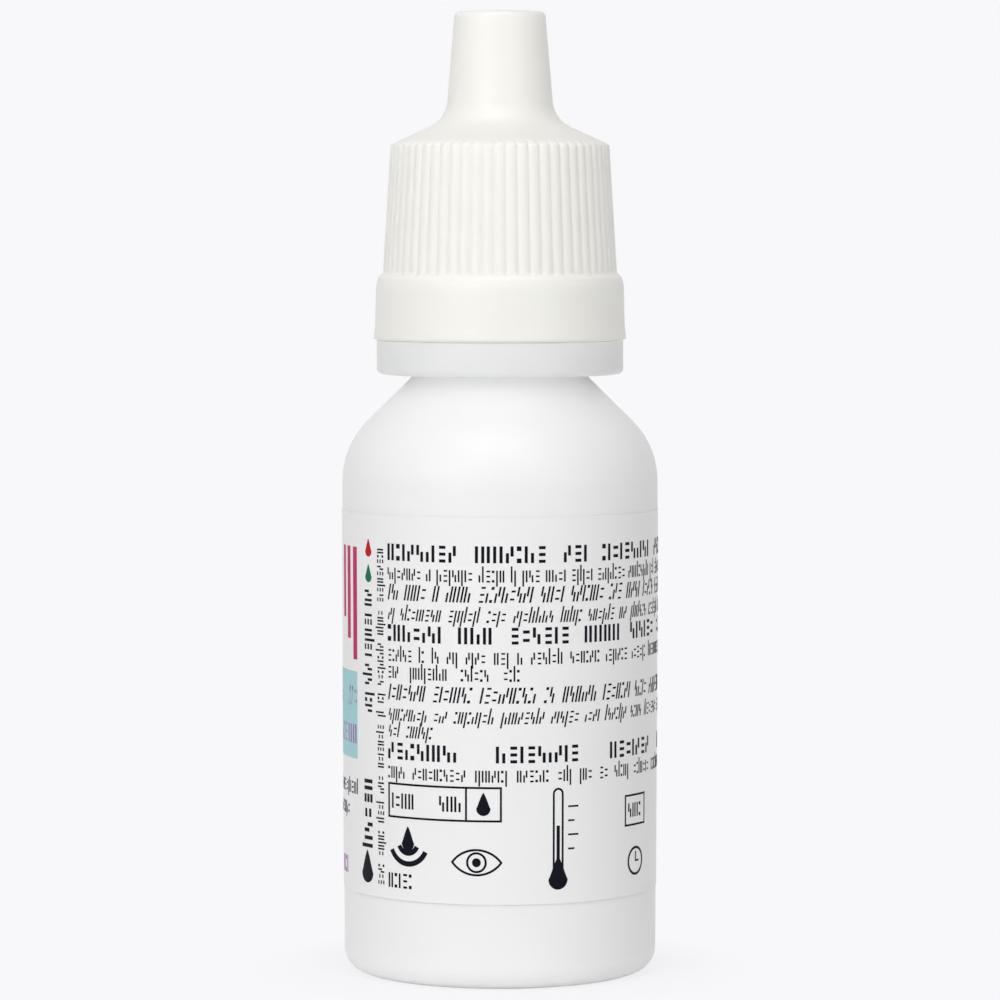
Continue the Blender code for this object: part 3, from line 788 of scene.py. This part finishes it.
# %% [markdown]
# ## How the print is laid down
# Ink is a layer about a hundredth of a millimetre thick. Each printed shape is a strip: a row of
# point pairs, one on either edge, given in millimetres round the label and up the bottle. Short
# steps round the curve keep the strip on the film. Each ink collects its strips, and one mesh per
# ink is made at the end.

# %% Collect strips of ink
INK, INK_FOOT = 0.012 * MM, -0.01 * MM
STEP = 0.6
ink_strips = {name: [] for name in ("dark", "magenta", "cyan", "mauve", "red", "green")}


def on_label(u, v, lift):
    """Place u mm round the label from its front line and v mm up the bottle."""
    return film_point(u * MM / (body_r + FILM) - math.pi / 2, v * MM, lift)


def strip(ink, pairs, closed=False):
    """Remember a strip of point pairs (u, v) for an ink."""
    ink_strips[ink].append((pairs, closed))


def bar(ink, u, v, width, height, slant=0.0):
    """Upright block from its lower left corner; slant shifts its top to the right."""
    count = max(1, math.ceil(width / STEP))
    steps = [u + width * k / count for k in range(count + 1)]
    strip(ink, [((a, v), (a + slant * height, v + height)) for a in steps])


def frame_of(ink, u, v, width, height, line=0.14):
    """Thin rectangular frame."""
    for low in (v, v + height - line):
        bar(ink, u, low, width, line)
    for left in (u, u + width - line):
        bar(ink, left, v + line, line, height - 2 * line)


print("inks:", ", ".join(ink_strips))

# %% [markdown]
# A ring or an arc is a strip that bends: its pairs stand on spokes about a centre, close enough
# together to look round at the size of the print.

# %% Bend a strip into a ring
ARC_STEP = 0.18


def ring_of(ink, u, v, outer, inner, start=0.0, end=360.0):
    """Ring or arc about a centre, from one angle to another in degrees."""
    whole = end - start >= 360
    count = max(6, math.ceil(math.radians(end - start) * outer / ARC_STEP))
    turns = [math.radians(start + (end - start) * k / count) for k in range(count + (not whole))]
    spokes = [(math.cos(t), math.sin(t)) for t in turns]
    pairs = [((u + inner * c, v + inner * s), (u + outer * c, v + outer * s)) for c, s in spokes]
    strip(ink, pairs, whole)


print(f"a ring of 1 mm takes {math.ceil(math.tau / ARC_STEP)} spokes")

# %% [markdown]
# A dot or a drop is a strip between two edge curves, with its points packed towards the ends, where
# a round edge turns fastest. It stays a hair open at both ends, so that no face shrinks to nothing.

# %% Fill dots and drops
HAIR = 1.001
DROP_WIDTH_SHARE, TIP_POWER, TIP_FULLNESS, TIP_GAP = 0.31, 1.35, 0.75, 0.02


def solid_of(ink, u, width, low, high, count=24):
    """Solid shape between two edge functions of the share across, from -1 to 1."""
    shares = [-math.cos(math.pi * k / count) for k in range(count + 1)]
    strip(ink, [((u + width / 2 * s, low(s)), (u + width / 2 * s, high(s))) for s in shares])


def round_edge(radius, share):
    """Half height of a dot at a share across, a hair open at both ends."""
    return radius * math.sqrt(HAIR - share * share)


def disc(ink, u, v, radius):
    """Solid round dot."""
    solid_of(ink, u, 2 * radius, lambda s: v - round_edge(radius, s), lambda s: v + round_edge(radius, s))


def drop(ink, u, v, height):
    """Solid drop: a round foot under a drawn-out tip."""
    radius = height * DROP_WIDTH_SHARE
    tip = height - radius
    solid_of(
        ink, u, 2 * radius,
        lambda s: v + radius - round_edge(radius, s),
        lambda s: v + radius + TIP_GAP + tip * (1 - abs(s)) ** TIP_POWER * (1 + TIP_FULLNESS * abs(s))
    )


print(f"a drop 2 mm high is {2 * 2 * DROP_WIDTH_SHARE:.2f} mm wide")

# %% [markdown]
# A label like this one is crowded with small print in several styles. Rows of small marks give its
# grey: posts of several heights, steps, short dashes and squares, in thin or heavy strokes, upright
# or slanted. A font could set such marks too, but plain blocks stay sharp at this size and take far
# fewer faces.

# %% Draw one mark


def one_mark(kind, stroke, height, tall):
    """Blocks (left, foot, width, height) of one mark."""
    rise = (height - stroke) / 2
    part, lift, dash, dot = 0.6 * height, 0.4 * height, 2.2 * stroke, 1.5 * stroke
    return {
        "post": [(0, 0, stroke, height)],
        "tall": [(0, 0, stroke, tall)],
        "deep": [(0, height - tall, stroke, tall)],
        "low": [(0, 0, stroke, part)],
        "steps": [(0, 0, stroke, part), (1.5 * stroke, lift, stroke, part)],
        "stairs": [(0, lift, stroke, part), (1.5 * stroke, 0, stroke, part)],
        "rungs": [(0.6 * stroke, k * rise, dash, stroke) for k in range(3)],
        "lines": [(0.4 * stroke, share * height, dash, stroke) for share in (0.15, 0.65)],
        "squares": [(0, 0, dot, dot), (0, height - dot, dot, dot)],
        "pair": [(0, 0, stroke, height), (1.8 * stroke, 0, stroke, height)],
    }[kind]


KINDS = ["post", "tall", "deep", "low", "steps", "stairs", "rungs", "lines", "squares", "pair"]
print("kinds of mark:", ", ".join(KINDS))

# %% [markdown]
# The marks are set in short runs. No kind follows itself, and the space after a mark goes with its
# stroke, so that heavy runs are as even as fine ones.

# %% Set a run of marks
APART = 1.05


def mark_run(rng, length, stroke, height, tall):
    """Blocks of one run of marks, and its width."""
    blocks, at, last = [], 0.0, None
    for _ in range(length):
        kind = rng.choice([k for k in KINDS if k != last])
        mark = one_mark(kind, stroke, height, tall)
        blocks += [(at + left, foot, wide, high) for left, foot, wide, high in mark]
        at += max(left + wide for left, _, wide, _ in mark) + APART * stroke
        last = kind
    return blocks, at - APART * stroke


print("a run of two marks is", round(mark_run(random.Random(1), 2, 0.13, 0.92, 1.24)[1], 2), "mm wide")

# %% [markdown]
# A row is filled with runs until the next one wouldn't fit. They are drawn from a seeded row of
# random numbers, so every row differs and comes out the same each time. What is left over at its
# end is shared among its gaps, as in a justified column.

# %% Fill a row with runs


def row_of_marks(ink, u, v, width, look, seed, slant=0.0, space=0.5, upright=True, runs_of=(2, 10)):
    """Fill a row from its left foot; look is (stroke, height, tall); upright=False reads upwards."""
    rng = random.Random(seed)
    runs, used = [], 0.0
    while True:
        blocks, wide = mark_run(rng, rng.randint(*runs_of), *look)
        if used + wide > width:
            break
        runs.append((blocks, wide))
        used += wide + space
    loose = (width - used + space) / max(1, len(runs) - 1) if len(runs) > 1 else 0
    at = 0.0
    for blocks, wide in runs:
        for left, foot, block_width, block_height in blocks:
            a = at + left + slant * foot
            if upright:
                bar(ink, u + a, v + foot, block_width, block_height, slant)
            else:
                bar(ink, u - foot - block_height, v + a, block_height, block_width)
        at += wide + space + loose


print("strips before the first row:", sum(len(strips) for strips in ink_strips.values()))

# %% [markdown]
# The side of the label that faces the camera holds twelve rows in four styles: heavy ones that head
# each block, plain and slanted small ones, and slanted tall ones. Each row has its own height up the
# bottle and fills a share of the column's width.

# %% Fill the side of the label
STYLES = {
    "heavy": ((0.24, 1.3, 1.3), 0.0, 0.6),
    "plain": ((0.13, 0.92, 1.24), 0.0, 0.42),
    "slanted": ((0.13, 0.92, 1.24), 0.2, 0.42),
    "slanted_tall": ((0.15, 1.24, 1.24), 0.2, 0.6),
}
TEXT_LEFT, TEXT_WIDTH = -9.7, 33.0
SIDE_SEED = 40
side_rows = [
    (34.02, "heavy", 1), (32.5, "plain", 1), (30.92, "slanted_tall", 1), (29.36, "slanted", 1),
    (27.72, "heavy", 1), (26.12, "plain", 1), (24.8, "plain", 0.34), (23.1, "slanted_tall", 1),
    (21.5, "slanted", 1), (20.2, "slanted", 0.125), (18.5, "heavy", 1), (16.97, "plain", 1),
]
for i, (centre, style, share) in enumerate(side_rows):
    look, slant, space = STYLES[style]
    foot = centre - look[2] / 2
    row_of_marks("dark", TEXT_LEFT, foot, TEXT_WIDTH * share, look, SIDE_SEED + i, slant, space)
print("dark strips so far:", len(ink_strips["dark"]))

# %% [markdown]
# Under the rows stands a line of plain pictograms in the same weight: a framed pair of cells, a
# drop over two arcs and an open eye. They are ordinary signs for drops and eyes, drawn from arcs
# and bars.

# %% Draw the left pictograms
LINE = 0.16
PUPIL_SHARE, IRIS_SHARE, LID_SHARE = 0.17, 0.4, 0.52
CELLS_FOOT, CELLS_WIDTH, CELLS_HEIGHT, CELL_WALL_U = 13.25, 9.85, 2.75, -2.75
FALL_U, FALL_FOOT, WAVES_V, WAVE_LINE = -7.7, 10.75, 11.5, 0.42
small_look, tall_look = (0.17, 1.15, 1.15), (0.17, 1.2, 1.2)


def eye(ink, u, v, width, line):
    """Open eye: two lids, an iris ring and a pupil."""
    half = width / 2
    rise = LID_SHARE * half
    radius = (half * half + rise * rise) / (2 * rise)
    sweep = math.degrees(math.asin(half / radius))
    ring_of(ink, u, v + rise - radius, radius, radius - line, 90 - sweep, 90 + sweep)
    ring_of(ink, u, v - rise + radius, radius, radius - line, 270 - sweep, 270 + sweep)
    ring_of(ink, u, v, IRIS_SHARE * half, IRIS_SHARE * half - line)
    disc(ink, u, v, PUPIL_SHARE * half)


frame_of("dark", TEXT_LEFT, CELLS_FOOT, CELLS_WIDTH, CELLS_HEIGHT, LINE)
bar("dark", CELL_WALL_U, CELLS_FOOT + 0.15, LINE, CELLS_HEIGHT - 0.3)
row_of_marks("dark", TEXT_LEFT + 0.4, CELLS_FOOT + 0.75, 6.2, tall_look, 7, space=0.4, runs_of=(4, 6))
drop("dark", -1.3, CELLS_FOOT + 0.5, 1.8)

drop("dark", FALL_U, FALL_FOOT, 1.9)
for outer in (1.15, 2.0):
    ring_of("dark", FALL_U, WAVES_V, outer, outer - WAVE_LINE, 205, 335)
row_of_marks("dark", TEXT_LEFT, 7.75, 4.1, small_look, 3, space=0.3, runs_of=(4, 7))

eye("dark", -1.85, 10.1, 4.1, 0.17)
print("dark strips with the left pictograms:", len(ink_strips["dark"]))

# %% [markdown]
# A thermometer with a drop for its bulb, a small framed cell and a clock follow to the right, and
# beyond them an empty frame. The thermometer is two upright lines with a round cap, a heavy bar for
# its liquid and four ticks.

# %% Draw the right pictograms
TUBE_U, TUBE_HALF, TUBE_FOOT, TUBE_TOP = 4.655, 0.455, 9.3, 15.4
LIQUID, LIQUID_FOOT, LIQUID_HEIGHT = 0.27, 9.6, 3.3
TICK_U, TICK_FOOT, TICK_PITCH, LONG_TICK, SHORT_TICK = 5.5, 11.0, 1.1, 0.9, 0.55
for left in (TUBE_U - TUBE_HALF, TUBE_U + TUBE_HALF - LINE):
    bar("dark", left, TUBE_FOOT, LINE, TUBE_TOP - TUBE_FOOT)
ring_of("dark", TUBE_U, TUBE_TOP, TUBE_HALF, TUBE_HALF - LINE, 0, 180)
bar("dark", TUBE_U - LIQUID / 2, LIQUID_FOOT, LIQUID, LIQUID_HEIGHT)
drop("dark", TUBE_U, 7.9, 2.6)
for k in range(4):
    bar("dark", TICK_U, TICK_FOOT + TICK_PITCH * k, LONG_TICK if k % 2 else SHORT_TICK, 0.14)

CELL_U, CELL_FOOT = 11.3, 12.3
frame_of("dark", CELL_U, CELL_FOOT, 3.1, 2.5, LINE)
row_of_marks("dark", CELL_U + 0.45, CELL_FOOT + 0.7, 2.4, (0.17, 1.1, 1.1), 5, space=0.3, runs_of=(3, 4))

CLOCK_U, CLOCK_V, HAND = 12.85, 9.5, 0.14
ring_of("dark", CLOCK_U, CLOCK_V, 1.15, 0.95)
bar("dark", CLOCK_U - HAND / 2, CLOCK_V, HAND, 0.75)
bar("dark", CLOCK_U - HAND / 2, CLOCK_V - HAND / 2, 0.55, HAND)
frame_of("dark", 20.8, 7.9, 3.3, 6.2)
print("dark strips with all the pictograms:", len(ink_strips["dark"]))

# %% [markdown]
# Two columns of marks read up the bottle at the edge of the front panel, the outer one heavier
# towards its foot and closed by a solid drop, with a red and a green drop over it.

# %% Set the upright columns
OUTER_U = -11.65
row_of_marks("dark", -10.2, 7.8, 26.4, (0.13, 0.72, 0.95), 21, upright=False)
row_of_marks("dark", OUTER_U, 21.3, 9.6, (0.2, 1.0, 1.35), 22, space=0.0, upright=False)
row_of_marks("dark", OUTER_U, 10.6, 10.4, (0.3, 1.15, 1.5), 23, space=0.0, upright=False)
drop("dark", -12.4, 7.8, 2.6)
drop("red", -12.1, 33.5, 1.4)
drop("green", -12.1, 31.5, 1.4)
print("dark strips with the columns:", len(ink_strips["dark"]))

# %% [markdown]
# ## The front panel
# The front panel faces left of the camera and carries the colours. Its design is this lesson's own:
# a large eye with a magenta iris, bold magenta posts in falling heights, and a pale cyan field with
# mauve rows, over three small rows in the dark ink.

# %% Lay out the front panel
PANEL_LEFT, PANEL_RIGHT = -37.4, -13.95
POST_WIDTH, POST_PITCH, POST_TOP = 0.75, 1.35, 34.15
panel_width = PANEL_RIGHT - PANEL_LEFT
field_look, caption_look = (0.26, 1.5, 1.5), (0.15, 0.95, 1.25)
eye("magenta", -27.6, 29.9, 14.0, 0.5)
for k, height in enumerate((8.9, 7.3, 5.7)):
    bar("magenta", PANEL_RIGHT - POST_WIDTH - POST_PITCH * k, POST_TOP - height, POST_WIDTH, height)
bar("cyan", PANEL_LEFT, 17.4, panel_width, 6.9)
row_of_marks("mauve", PANEL_LEFT + 1.2, 21.6, panel_width - 1.4, field_look, 31, slant=0.2, space=0.9)
row_of_marks("mauve", PANEL_LEFT + 1.2, 18.6, panel_width - 1.4, field_look, 32, space=0.9)
for k, share in enumerate((1, 0.92, 0.6)):
    row_of_marks("dark", PANEL_LEFT, 14.6 - 1.75 * k, panel_width * share, caption_look, 33 + k, space=0.55)
row_of_marks("mauve", PANEL_RIGHT - 4.2, 8.1, 4.2, (0.24, 1.35, 1.8), 37, space=0.3)
drop("magenta", PANEL_LEFT + 1.1, 8.0, 2.6)
print("magenta strips:", len(ink_strips["magenta"]), "mauve strips:", len(ink_strips["mauve"]))

# %% [markdown]
# The back carries a plain table for the doses, with a drop over one column and an eye over the
# other, and an empty box under it.

# %% Rule the table at the back
TABLE_LEFT, TABLE_FOOT, TABLE_WIDTH = 25.2, 15.8, 11.6
ROW_H, TABLE_ROWS = 3.1, 6
table_look = (0.13, 0.85, 1.15)
frame_of("dark", TABLE_LEFT, TABLE_FOOT, TABLE_WIDTH, ROW_H * TABLE_ROWS)
for k in range(1, TABLE_ROWS):
    bar("dark", TABLE_LEFT, TABLE_FOOT + ROW_H * k, TABLE_WIDTH, 0.12)
for k in range(TABLE_ROWS - 1):
    row_foot = TABLE_FOOT + 0.95 + ROW_H * k
    row_of_marks("dark", TABLE_LEFT + 0.5, row_foot, 4.4, table_look, 50 + k, space=0.4)
    row_of_marks("dark", TABLE_LEFT + 6.2, row_foot, 4.6, table_look, 60 + k, space=0.4)
bar("dark", TABLE_LEFT + 5.6, TABLE_FOOT + 0.14, 0.12, 18.3)
drop("dark", TABLE_LEFT + 2.8, 31.75, 2.0)
eye("dark", TABLE_LEFT + 8.6, 32.8, 3.6, 0.15)
frame_of("dark", TABLE_LEFT, 7.9, TABLE_WIDTH, 6.2)
print({ink: len(strips) for ink, strips in ink_strips.items()})

# %% [markdown]
# ## Print the inks
# Each strip becomes a closed slab whose foot lies in the film, so nothing floats and no face is
# open. Ink on film is thin and slightly uneven, so its finish clouds a little between two shades.

# %% Turn the strips into slabs


def print_ink(name, strips):
    """One mesh of closed slabs for all the strips of an ink."""
    verts, faces = [], []
    for pairs, closed in strips:
        faces += tube_faces(len(verts), len(pairs), 4, closed)
        for low, high in pairs:
            verts += [on_label(*low, INK), on_label(*high, INK)]
            verts += [on_label(*high, INK_FOOT), on_label(*low, INK_FOOT)]
    piece = made(name, verts, faces, 20)
    piece.data.shade_flat()
    return piece


ink_colours = {
    "dark": ((0.006, 0.006, 0.013), (0.003, 0.003, 0.008)),
    "magenta": ((0.56, 0.030, 0.155), (0.50, 0.022, 0.130)),
    "cyan": ((0.42, 0.70, 0.745), (0.39, 0.67, 0.72)),
    "mauve": ((0.40, 0.16, 0.42), (0.36, 0.13, 0.38)),
    "red": ((0.58, 0.012, 0.020), (0.52, 0.009, 0.015)),
    "green": ((0.006, 0.19, 0.075), (0.005, 0.165, 0.062)),
}
for ink, (pale, deep) in ink_colours.items():
    piece = print_ink("print_" + ink, ink_strips[ink])
    finish = finish_of(
        ink + "_ink", pale, deep, (0.4, 0.5),
        cloud=1.5 * MM, peel=0.1 * MM, peel_depth=0.001 * MM, shine=0.08
    )
    seat(piece, finish, "bottle")

# %% [markdown]
# ## Floor and backdrop
# The picture has no floor line: the bottle stands in an even, nearly white field. Floor and world
# therefore show that field's colour to the camera, and to mirrors and glass, while the bottle
# itself is lit by plain light. The sum below tells the two kinds of ray apart.

# %% Tell what looks from what lights
FIELD = (0.939, 0.939, 0.956)


def camera_share(tree):
    """1 where the camera, a mirror or a glass looks, else 0."""
    path = tree.nodes.new("ShaderNodeLightPath")
    total = None
    for ray in ("Is Camera Ray", "Is Glossy Ray", "Is Transmission Ray"):
        add = tree.nodes.new("ShaderNodeMath")
        add.operation = "ADD"
        add.use_clamp = True
        tree.links.new(path.outputs[ray], add.inputs[0])
        if total:
            tree.links.new(total, add.inputs[1])
        else:
            add.inputs[1].default_value = 0
        total = add.outputs[0]
    return total


print("the field's colour is", FIELD)

# %% [markdown]
# Floor and world need the same three steps: a product, a range that eases in and out, and a mix of
# two shaders. A helper for each keeps both node trees short.

# %% Name three steps of a node tree


def times(tree, a, b):
    """Product of two values."""
    node = tree.nodes.new("ShaderNodeMath")
    node.operation = "MULTIPLY"
    tree.links.new(a, node.inputs[0])
    tree.links.new(b, node.inputs[1])
    return node.outputs[0]


def eased_range(tree, value, start, end, low, high):
    """Value eased from one range onto another."""
    node = tree.nodes.new("ShaderNodeMapRange")
    node.interpolation_type = "SMOOTHSTEP"
    for socket, number in zip(("From Min", "From Max", "To Min", "To Max"), (start, end, low, high)):
        node.inputs[socket].default_value = number
    tree.links.new(value, node.inputs["Value"])
    return node.outputs["Result"]


def either(tree, share, first, second, surface):
    """Mix two shaders by a share into an output."""
    mix = tree.nodes.new("ShaderNodeMixShader")
    tree.links.new(share, mix.inputs["Fac"])
    tree.links.new(first, mix.inputs[1])
    tree.links.new(second, mix.inputs[2])
    tree.links.new(mix.outputs["Shader"], surface)


print("a product, an eased range and a mix are ready for both node trees")

# %% [markdown]
# The floor is real, so it sends light up under the bottle. Close to the foot the camera sees a part
# of its true shade, and further out only the field's colour.

# %% Lay the floor
FLOOR_HALF, FLOOR_Z = 1.5, -0.00002
SHADE_FROM, SHADE_TO, FIELD_AT_FOOT = 0.01, 0.022, 0.84
corners = [(-1, -1), (1, -1), (1, 1), (-1, 1)]
floor_verts = [(FLOOR_HALF * x, FLOOR_HALF * y, FLOOR_Z) for x, y in corners]
floor = made("studio_floor", floor_verts, [(0, 1, 2, 3)], 30)
paper = bpy.data.materials.new("pale_floor_paper")
paper.use_nodes = True
tree = paper.node_tree
tree.nodes.clear()
output = tree.nodes.new("ShaderNodeOutputMaterial")
matt = tree.nodes.new("ShaderNodeBsdfDiffuse")
matt.inputs["Color"].default_value = (0.93, 0.93, 0.935, 1)
glow = tree.nodes.new("ShaderNodeEmission")
glow.inputs["Color"].default_value = (*FIELD, 1)
where = tree.nodes.new("ShaderNodeTexCoord").outputs["Object"]
distance = tree.nodes.new("ShaderNodeVectorMath")
distance.operation = "LENGTH"
tree.links.new(where, distance.inputs[0])
far = eased_range(tree, distance.outputs["Value"], SHADE_FROM, SHADE_TO, FIELD_AT_FOOT, 1)
share = times(tree, far, camera_share(tree))
either(tree, share, matt.outputs["BSDF"], glow.outputs["Emission"], output.inputs["Surface"])
floor.data.materials.append(paper)
print("floor laid,", 2 * FLOOR_HALF, "m wide")

# %% [markdown]
# ## Even light from all round
# A white bottle needs light from every side, or its edges turn black. The world gives it: a plain
# level that leans towards the front left, so the far side falls off gently, and a ceiling at half
# the level, because most light from above comes from a lamp.

# %% Surround the bottle with even light
LEVEL, LEAN = 0.475, Vector((-0.08, -0.27, 0.0))
BAND, CEILING = 1.0, 0.5
CEILING_FROM, CEILING_TO = 0.4, 0.8
world = bpy.data.worlds.new("even_studio")
bpy.context.scene.world = world
world.use_nodes = True
tree = world.node_tree
tree.nodes.clear()
output = tree.nodes.new("ShaderNodeOutputWorld")
direction = tree.nodes.new("ShaderNodeTexCoord").outputs["Generated"]
apart = tree.nodes.new("ShaderNodeSeparateXYZ")
tree.links.new(direction, apart.inputs[0])
lean = tree.nodes.new("ShaderNodeVectorMath")
lean.operation = "DOT_PRODUCT"
lean.inputs[1].default_value = LEAN
tree.links.new(direction, lean.inputs[0])
strength = tree.nodes.new("ShaderNodeMath")
strength.inputs[1].default_value = LEVEL
tree.links.new(lean.outputs["Value"], strength.inputs[0])
height = eased_range(tree, apart.outputs["Z"], CEILING_FROM, CEILING_TO, BAND, CEILING)
even = tree.nodes.new("ShaderNodeBackground")
even.inputs["Color"].default_value = (0.99, 0.993, 1.0, 1)
tree.links.new(times(tree, strength.outputs["Value"], height), even.inputs["Strength"])
field = tree.nodes.new("ShaderNodeBackground")
field.inputs["Color"].default_value = (*FIELD, 1)
surface = output.inputs["Surface"]
either(tree, camera_share(tree), even.outputs["Background"], field.outputs["Background"], surface)
print("world level", LEVEL, "leaning", tuple(round(part, 2) for part in LEAN))

# %% [markdown]
# ## Soft lamps
# The shading of the real bottle gives the lamps away: it is brightest a little left of its middle,
# falls slowly to the left and faster to the right, and its shoulder and flare are as bright as its
# walls. So a window stands to the front left, a large panel hangs above the front, and a weak panel
# fills the right. One more lights the back. It is left out of reflections, where it would draw a
# bright line along the cap's flare.

# %% Hang the lamps
target = Vector((0, 0, 0.042))


def soft_lamp(name, azimuth, elevation, distance, width, height, power):
    """Area lamp aimed at the bottle; azimuth is degrees to the right of the camera."""
    data = bpy.data.lights.new(name, "AREA")
    data.shape = "RECTANGLE"
    data.size, data.size_y = width, height
    data.energy = power
    lamp = bpy.data.objects.new(name, data)
    a, e = math.radians(azimuth), math.radians(elevation)
    towards = Vector((math.sin(a) * math.cos(e), -math.cos(a) * math.cos(e), math.sin(e)))
    lamp.location = target + distance * towards
    lamp.rotation_euler = (target - lamp.location).to_track_quat("-Z", "Y").to_euler()
    bpy.context.scene.collection.objects.link(lamp)
    return lamp


front_lamps = [
    soft_lamp("window_left", -34, 18, distance=0.7, width=0.5, height=0.4, power=0.91),
    soft_lamp("panel_above", -4, 61, distance=0.7, width=0.6, height=0.5, power=1.95),
    soft_lamp("panel_right", 36, 15, distance=0.7, width=0.4, height=0.4, power=0.3),
]
back_lamp = soft_lamp("panel_behind", 180, 3, distance=0.8, width=0.2, height=0.3, power=1.2)
back_lamp.visible_glossy = False
print("front lamps:", ", ".join(lamp.name for lamp in front_lamps))

# %% [markdown]
# Natural polyethylene lets much of the light through, and on the real bottle the shoulder stays
# bright right under the ring. A shader that passes light would do it too, but slowly and with
# grain. Here the ring and the cap are left out of what shades the front lamps, and they still shade
# the light of the world.

# %% Let light through the ring
stops_light = bpy.data.collections.new("stops_light")
for piece in bpy.data.objects:
    if piece.type == "MESH" and piece not in (opening_ring, screw_cap):
        stops_light.objects.link(piece)
for lamp in front_lamps:
    lamp.light_linking.blocker_collection = stops_light

# %% [markdown]
# ## Camera
# The camera looks slightly down with a long lens, which keeps the body's sides nearly parallel. It
# stands as close as the photograph's own perspective asks.

# %% Set up the camera
LENS, SENSOR, CLIP_START = 171.3, 36, 0.01
eye_point = Vector((0, -0.3786, 0.06037))
aim_point = Vector((0, 0, 0.0375))
camera_data = bpy.data.cameras.new("camera")
camera_data.lens = LENS
camera_data.sensor_width = SENSOR
camera_data.clip_start = CLIP_START
camera = bpy.data.objects.new("camera", camera_data)
camera.location = eye_point
camera.rotation_euler = (aim_point - eye_point).to_track_quat("-Z", "Y").to_euler()
bpy.context.scene.collection.objects.link(camera)
bpy.context.scene.camera = camera
bpy.context.scene.view_settings.view_transform = "Standard"
print(f"the camera stands {(eye_point - aim_point).length:.2f} m away")
